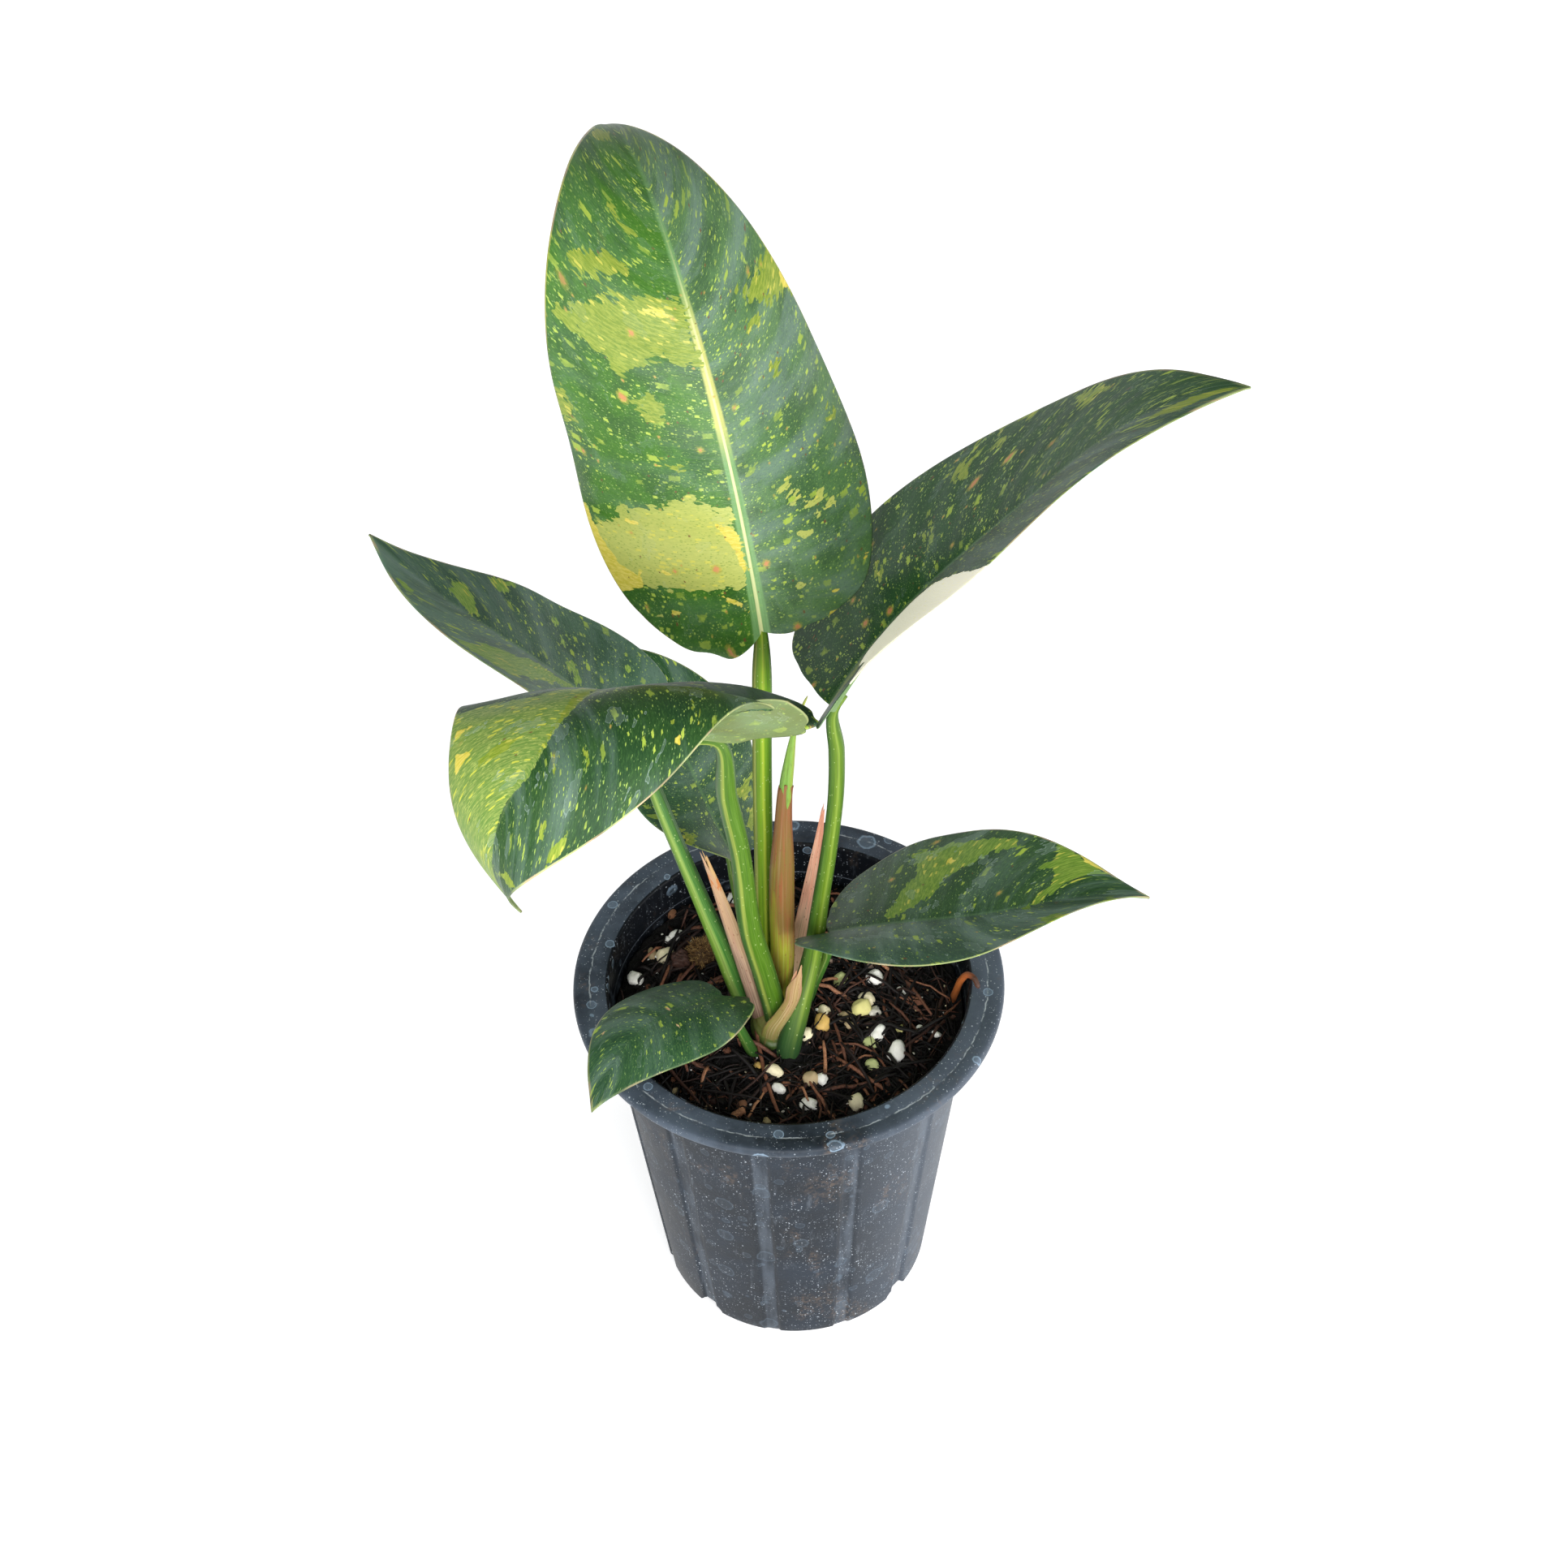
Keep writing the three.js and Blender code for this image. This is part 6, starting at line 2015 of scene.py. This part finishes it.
def leaf_g() -> Leaf:
    """Smallest leaf, over the front of the rim, with tan scars."""
    pale = Mark.PALE
    patches = streaks(pale, (51, 82, 94), (46, 2, 20), (49, -40, -26), (50, -68, -55), (48, -94, -80),
                      (68, 70, 82))
    skin = LeafSkin((46, 78, 48), (48, 80, 52), flecks=0.09, haze=0.3, rib=(60, 88, 56), rib_width=2.0,
                    edge_steps=0.25, pale=((190, 146, 104), (216, 184, 144)), margin_share=0.5)
    return Leaf(
        "blade_g", (-22.7, -17.9, 159.6), 66, (18, 5, -17, -33), (205, 215, 234, 244), (13, 7, -3, 1),
        Half(23, 8, (10, 1, 0), (-17, -15, -12)), Half(21, 1, (-4, -3, 0), (-19, -19, -9)), skin, patches,
        rib_depth=(1.4, 0.3), rib_half=1.6,
    )


# The stalks, each with its colours from left to right across the front, painted shading included
def stalk_skins() -> dict[str, StalkSkin]:
    """Stripes of each stalk."""
    green = StalkSkin((
        (0.0, 40, 74, 28), (0.25, 66, 100, 34), (0.47, 84, 118, 40), (0.5, 132, 154, 80),
        (0.54, 60, 108, 34), (0.75, 46, 88, 34), (1.0, 40, 74, 28),
    ))
    return {
        "a": StalkSkin((
            (0.0, 58, 90, 26), (0.25, 96, 124, 42), (0.33, 130, 138, 66), (0.37, 156, 162, 84),
            (0.4, 92, 126, 26), (0.48, 112, 150, 28), (0.52, 160, 178, 58), (0.56, 100, 140, 24),
            (0.66, 72, 112, 22), (0.8, 48, 82, 24), (1.0, 58, 90, 26),
        )),
        "b": StalkSkin((
            (0.0, 36, 66, 32), (0.27, 38, 68, 38), (0.4, 64, 100, 34), (0.5, 88, 115, 26),
            (0.54, 118, 140, 52), (0.58, 80, 110, 26), (0.68, 66, 98, 28), (0.8, 46, 80, 36),
            (1.0, 36, 66, 32),
        ), foot=(36, 68, 40)),
        "c": StalkSkin((
            (0.0, 44, 80, 38), (0.25, 72, 108, 38), (0.42, 92, 126, 44), (0.48, 136, 160, 80),
            (0.54, 62, 110, 44), (0.75, 50, 94, 40), (1.0, 44, 80, 38),
        )),
        "d": StalkSkin((
            (0.0, 44, 78, 34), (0.25, 46, 80, 44), (0.41, 62, 96, 42), (0.44, 134, 146, 66),
            (0.47, 128, 144, 58), (0.49, 66, 102, 22), (0.64, 72, 108, 24), (0.76, 52, 92, 32),
            (1.0, 44, 78, 34),
        )),
        "e": green, "f": green, "g": green,
    }


def stalks(leaves: dict[str, Leaf]) -> list[Stalk]:
    """The seven stalks.

    Args:
        leaves: the leaves by letter.

    Returns:
        One stalk per leaf.
    """
    paths = {
        "d": [(-4.5, -12, 126), (-4.8, -11.5, 141), (-8.2, -12, 164), (-12.5, -14, 192), (-14.6, -17.5, 232),
              (-17.9, -22, 264)],
        "b": [(-1, -22, 125), (-0.5, -20, 134), (3.6, -13, 149), (8.2, -4.5, 164), (11, -1.5, 186),
              (14.2, -1.5, 213), (16.8, -2.5, 242), (17.2, -3.5, 265)],
        "g": [(-11, -20, 125), (-14, -21.5, 136), (-18.2, -20.5, 148)],
        "c": [(-11, -3, 126), (-16.4, -2, 141), (-23, 0, 166), (-29.4, 4, 187), (-37.2, 8.4, 213)],
        "a": [(-7, 0, 126), (-7.5, 2.6, 147), (-7.4, 5.5, 190), (-7, 9.5, 230), (-6.4, 12.5, 262),
              (-5.9, 13, 284)],
        "f": [(5, 2, 126), (8.5, 2.5, 140), (13, 2, 156)],
        "e": [(-8, 9, 126), (-12, 12, 143), (-16, 18, 160), (-18.4, 25, 172)],
    }
    radii = {
        "d": (4, 4.1, 4, 3.8, 3.4, 3.4, 3, 1.6), "b": (4.3, 4.2, 3.6, 3.3, 3, 2.9, 2.8, 2.8, 2.6, 1.3),
        "g": (2.1, 2.1, 1.9, 1.7, 1), "c": (3.8, 3.7, 3.4, 3, 2.7, 2.5, 1.3),
        "a": (3.6, 3.5, 3.3, 3.2, 3.2, 3.2, 3.1, 1.6), "f": (2.1, 2.1, 2, 1.9, 1),
        "e": (1.9, 1.8, 1.6, 1.5, 1.4, 0.8),
    }
    skins = stalk_skins()
    return [Stalk(f"stalk_{k}", path, radii[k], leaves[k], skins[k]) for k, path in paths.items()]


def sheaths() -> list[Sheath]:
    """The four sheaths."""
    cream = SheathSkin((96, 88, 54), (172, 146, 112), (184, 152, 98), side=(158, 124, 118), scar=82.0)
    return [
        Sheath("sheath_tall", [(-3.2, -4, 128), (-3, -3.4, 140), (-1.9, -2.6, 160), (-1.6, -1.4, 190),
                               (-0.8, -0.8, 216), (0.6, 0, 243), (1.4, 0, 247)],
               (3, 3.8, 4.2, 4.3, 4.1, 3, 2.4), (3, 3.4, 3.6, 3.6, 3.3, 2.5, 2), -90,
               SheathSkin((150, 164, 34), (108, 88, 36), (122, 72, 44), vein=(154, 52, 46),
                          side=(112, 98, 48), side_share=0.35, light_share=0.08), rolled=True, torn=0.01,
               seed=3),
        Sheath("sheath_left", [(-9, -8, 128), (-10.3, -8, 140), (-14.8, -7.6, 164), (-21.8, -6.6, 197),
                               (-27.6, -5.4, 221)], (4.2, 4, 3.6, 2.7, 1.3), (1.7, 1.7, 1.5, 1.2, 0.7), 60,
               cream, seed=4),
        Sheath("sheath_right", [(2, 7, 128), (3.4, 8, 148), (7.5, 8.4, 180), (11.1, 8.4, 207),
                                (13.1, 8, 227)], (3.8, 3.6, 2.8, 1.9, 0.7), (1.8, 1.7, 1.5, 1.1, 0.6), -120,
               SheathSkin((226, 190, 154), (255, 206, 174), (248, 172, 142), side=(255, 212, 184)), seed=5),
        Sheath("sheath_front", [(-6, -14.5, 130), (-5.2, -16.8, 141.3), (-2.3, -17.4, 148.3),
                                (0.9, -17.6, 156.5), (2, -17.3, 163.8), (3.9, -16.8, 176)],
               (4.4, 4.2, 3.2, 2.7, 2.8, 2.5), (1.7, 1.6, 1.4, 1.2, 1.1, 0.9), 100,
               SheathSkin((108, 118, 50), (150, 134, 76), (186, 140, 108), side=(150, 130, 84)), torn=0.1,
               seed=6),
    ]


def build_shoots() -> None:
    """Builds the rolled new leaf and the root over the rim."""
    spear = Shoot("spear", [(0, -0.4, 218), (0.8, 0, 244), (1.9, 0.4, 254), (4.3, 1, 271), (7, 1.6, 280.5),
                            (8.4, 2, 284)], (1.6, 2, 2.2, 1.6, 0.7, 0.35), roll=0.14)
    skin = ShootSkin(((0.35, 96, 136, 46), (0.8, 120, 156, 56), (1.0, 168, 170, 80)), (170, 180, 80))
    dress(spear.build(), skin.material("spear_skin", 68), ["spear"])
    root = Shoot("rim_root", [(57, 3, 127), (58.4, 0.8, 136), (60, -1, 144.5), (62, -2.8, 149.4),
                              (64.2, -5, 150), (65.6, -8, 148.3)], (1.3, 1.3, 1.25, 1.2, 1.1, 0.8),
                 knots=0.03)
    skin = ShootSkin(((0.2, 120, 66, 30), (0.6, 176, 96, 40), (0.9, 160, 84, 38), (1.0, 66, 36, 22)),
                     (140, 74, 32), rough=0.6)
    dress(root.build(), skin.material("root_skin", 27), ["rim_root"])


def main() -> None:
    """Builds every piece in order, then the studio and the camera."""
    logging.basicConfig(level=logging.INFO, format="%(message)s")
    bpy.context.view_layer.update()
    leaves = {leaf.name[-1]: leaf for leaf in (leaf_a(), leaf_b(), leaf_c(), leaf_d(), leaf_e(), leaf_f(),
                                               leaf_g())}
    for leaf in leaves.values():
        dress(leaf.build(), leaf.skin.material(f"{leaf.name}_skin"), [leaf.name])
    for stalk in stalks(leaves):
        dress(stalk.build(), stalk.skin.material(f"{stalk.name}_skin"), [stalk.name])
    for sheath in sheaths():
        length = float(lengths_along(centripetal(sheath.path, 40))[-1])
        dress(sheath.build(), sheath.skin.material(f"{sheath.name}_skin", length), [sheath.name])
    build_shoots()
    crown = Crown()
    dress(crown.build(), crown.skin(), ["crown"])
    dress(Pot().build(), PotPlastic().material(), ["pot"])
    build_mix()
    Studio().build()
    ViewCamera().build()


if __name__ == "__main__":
    main()
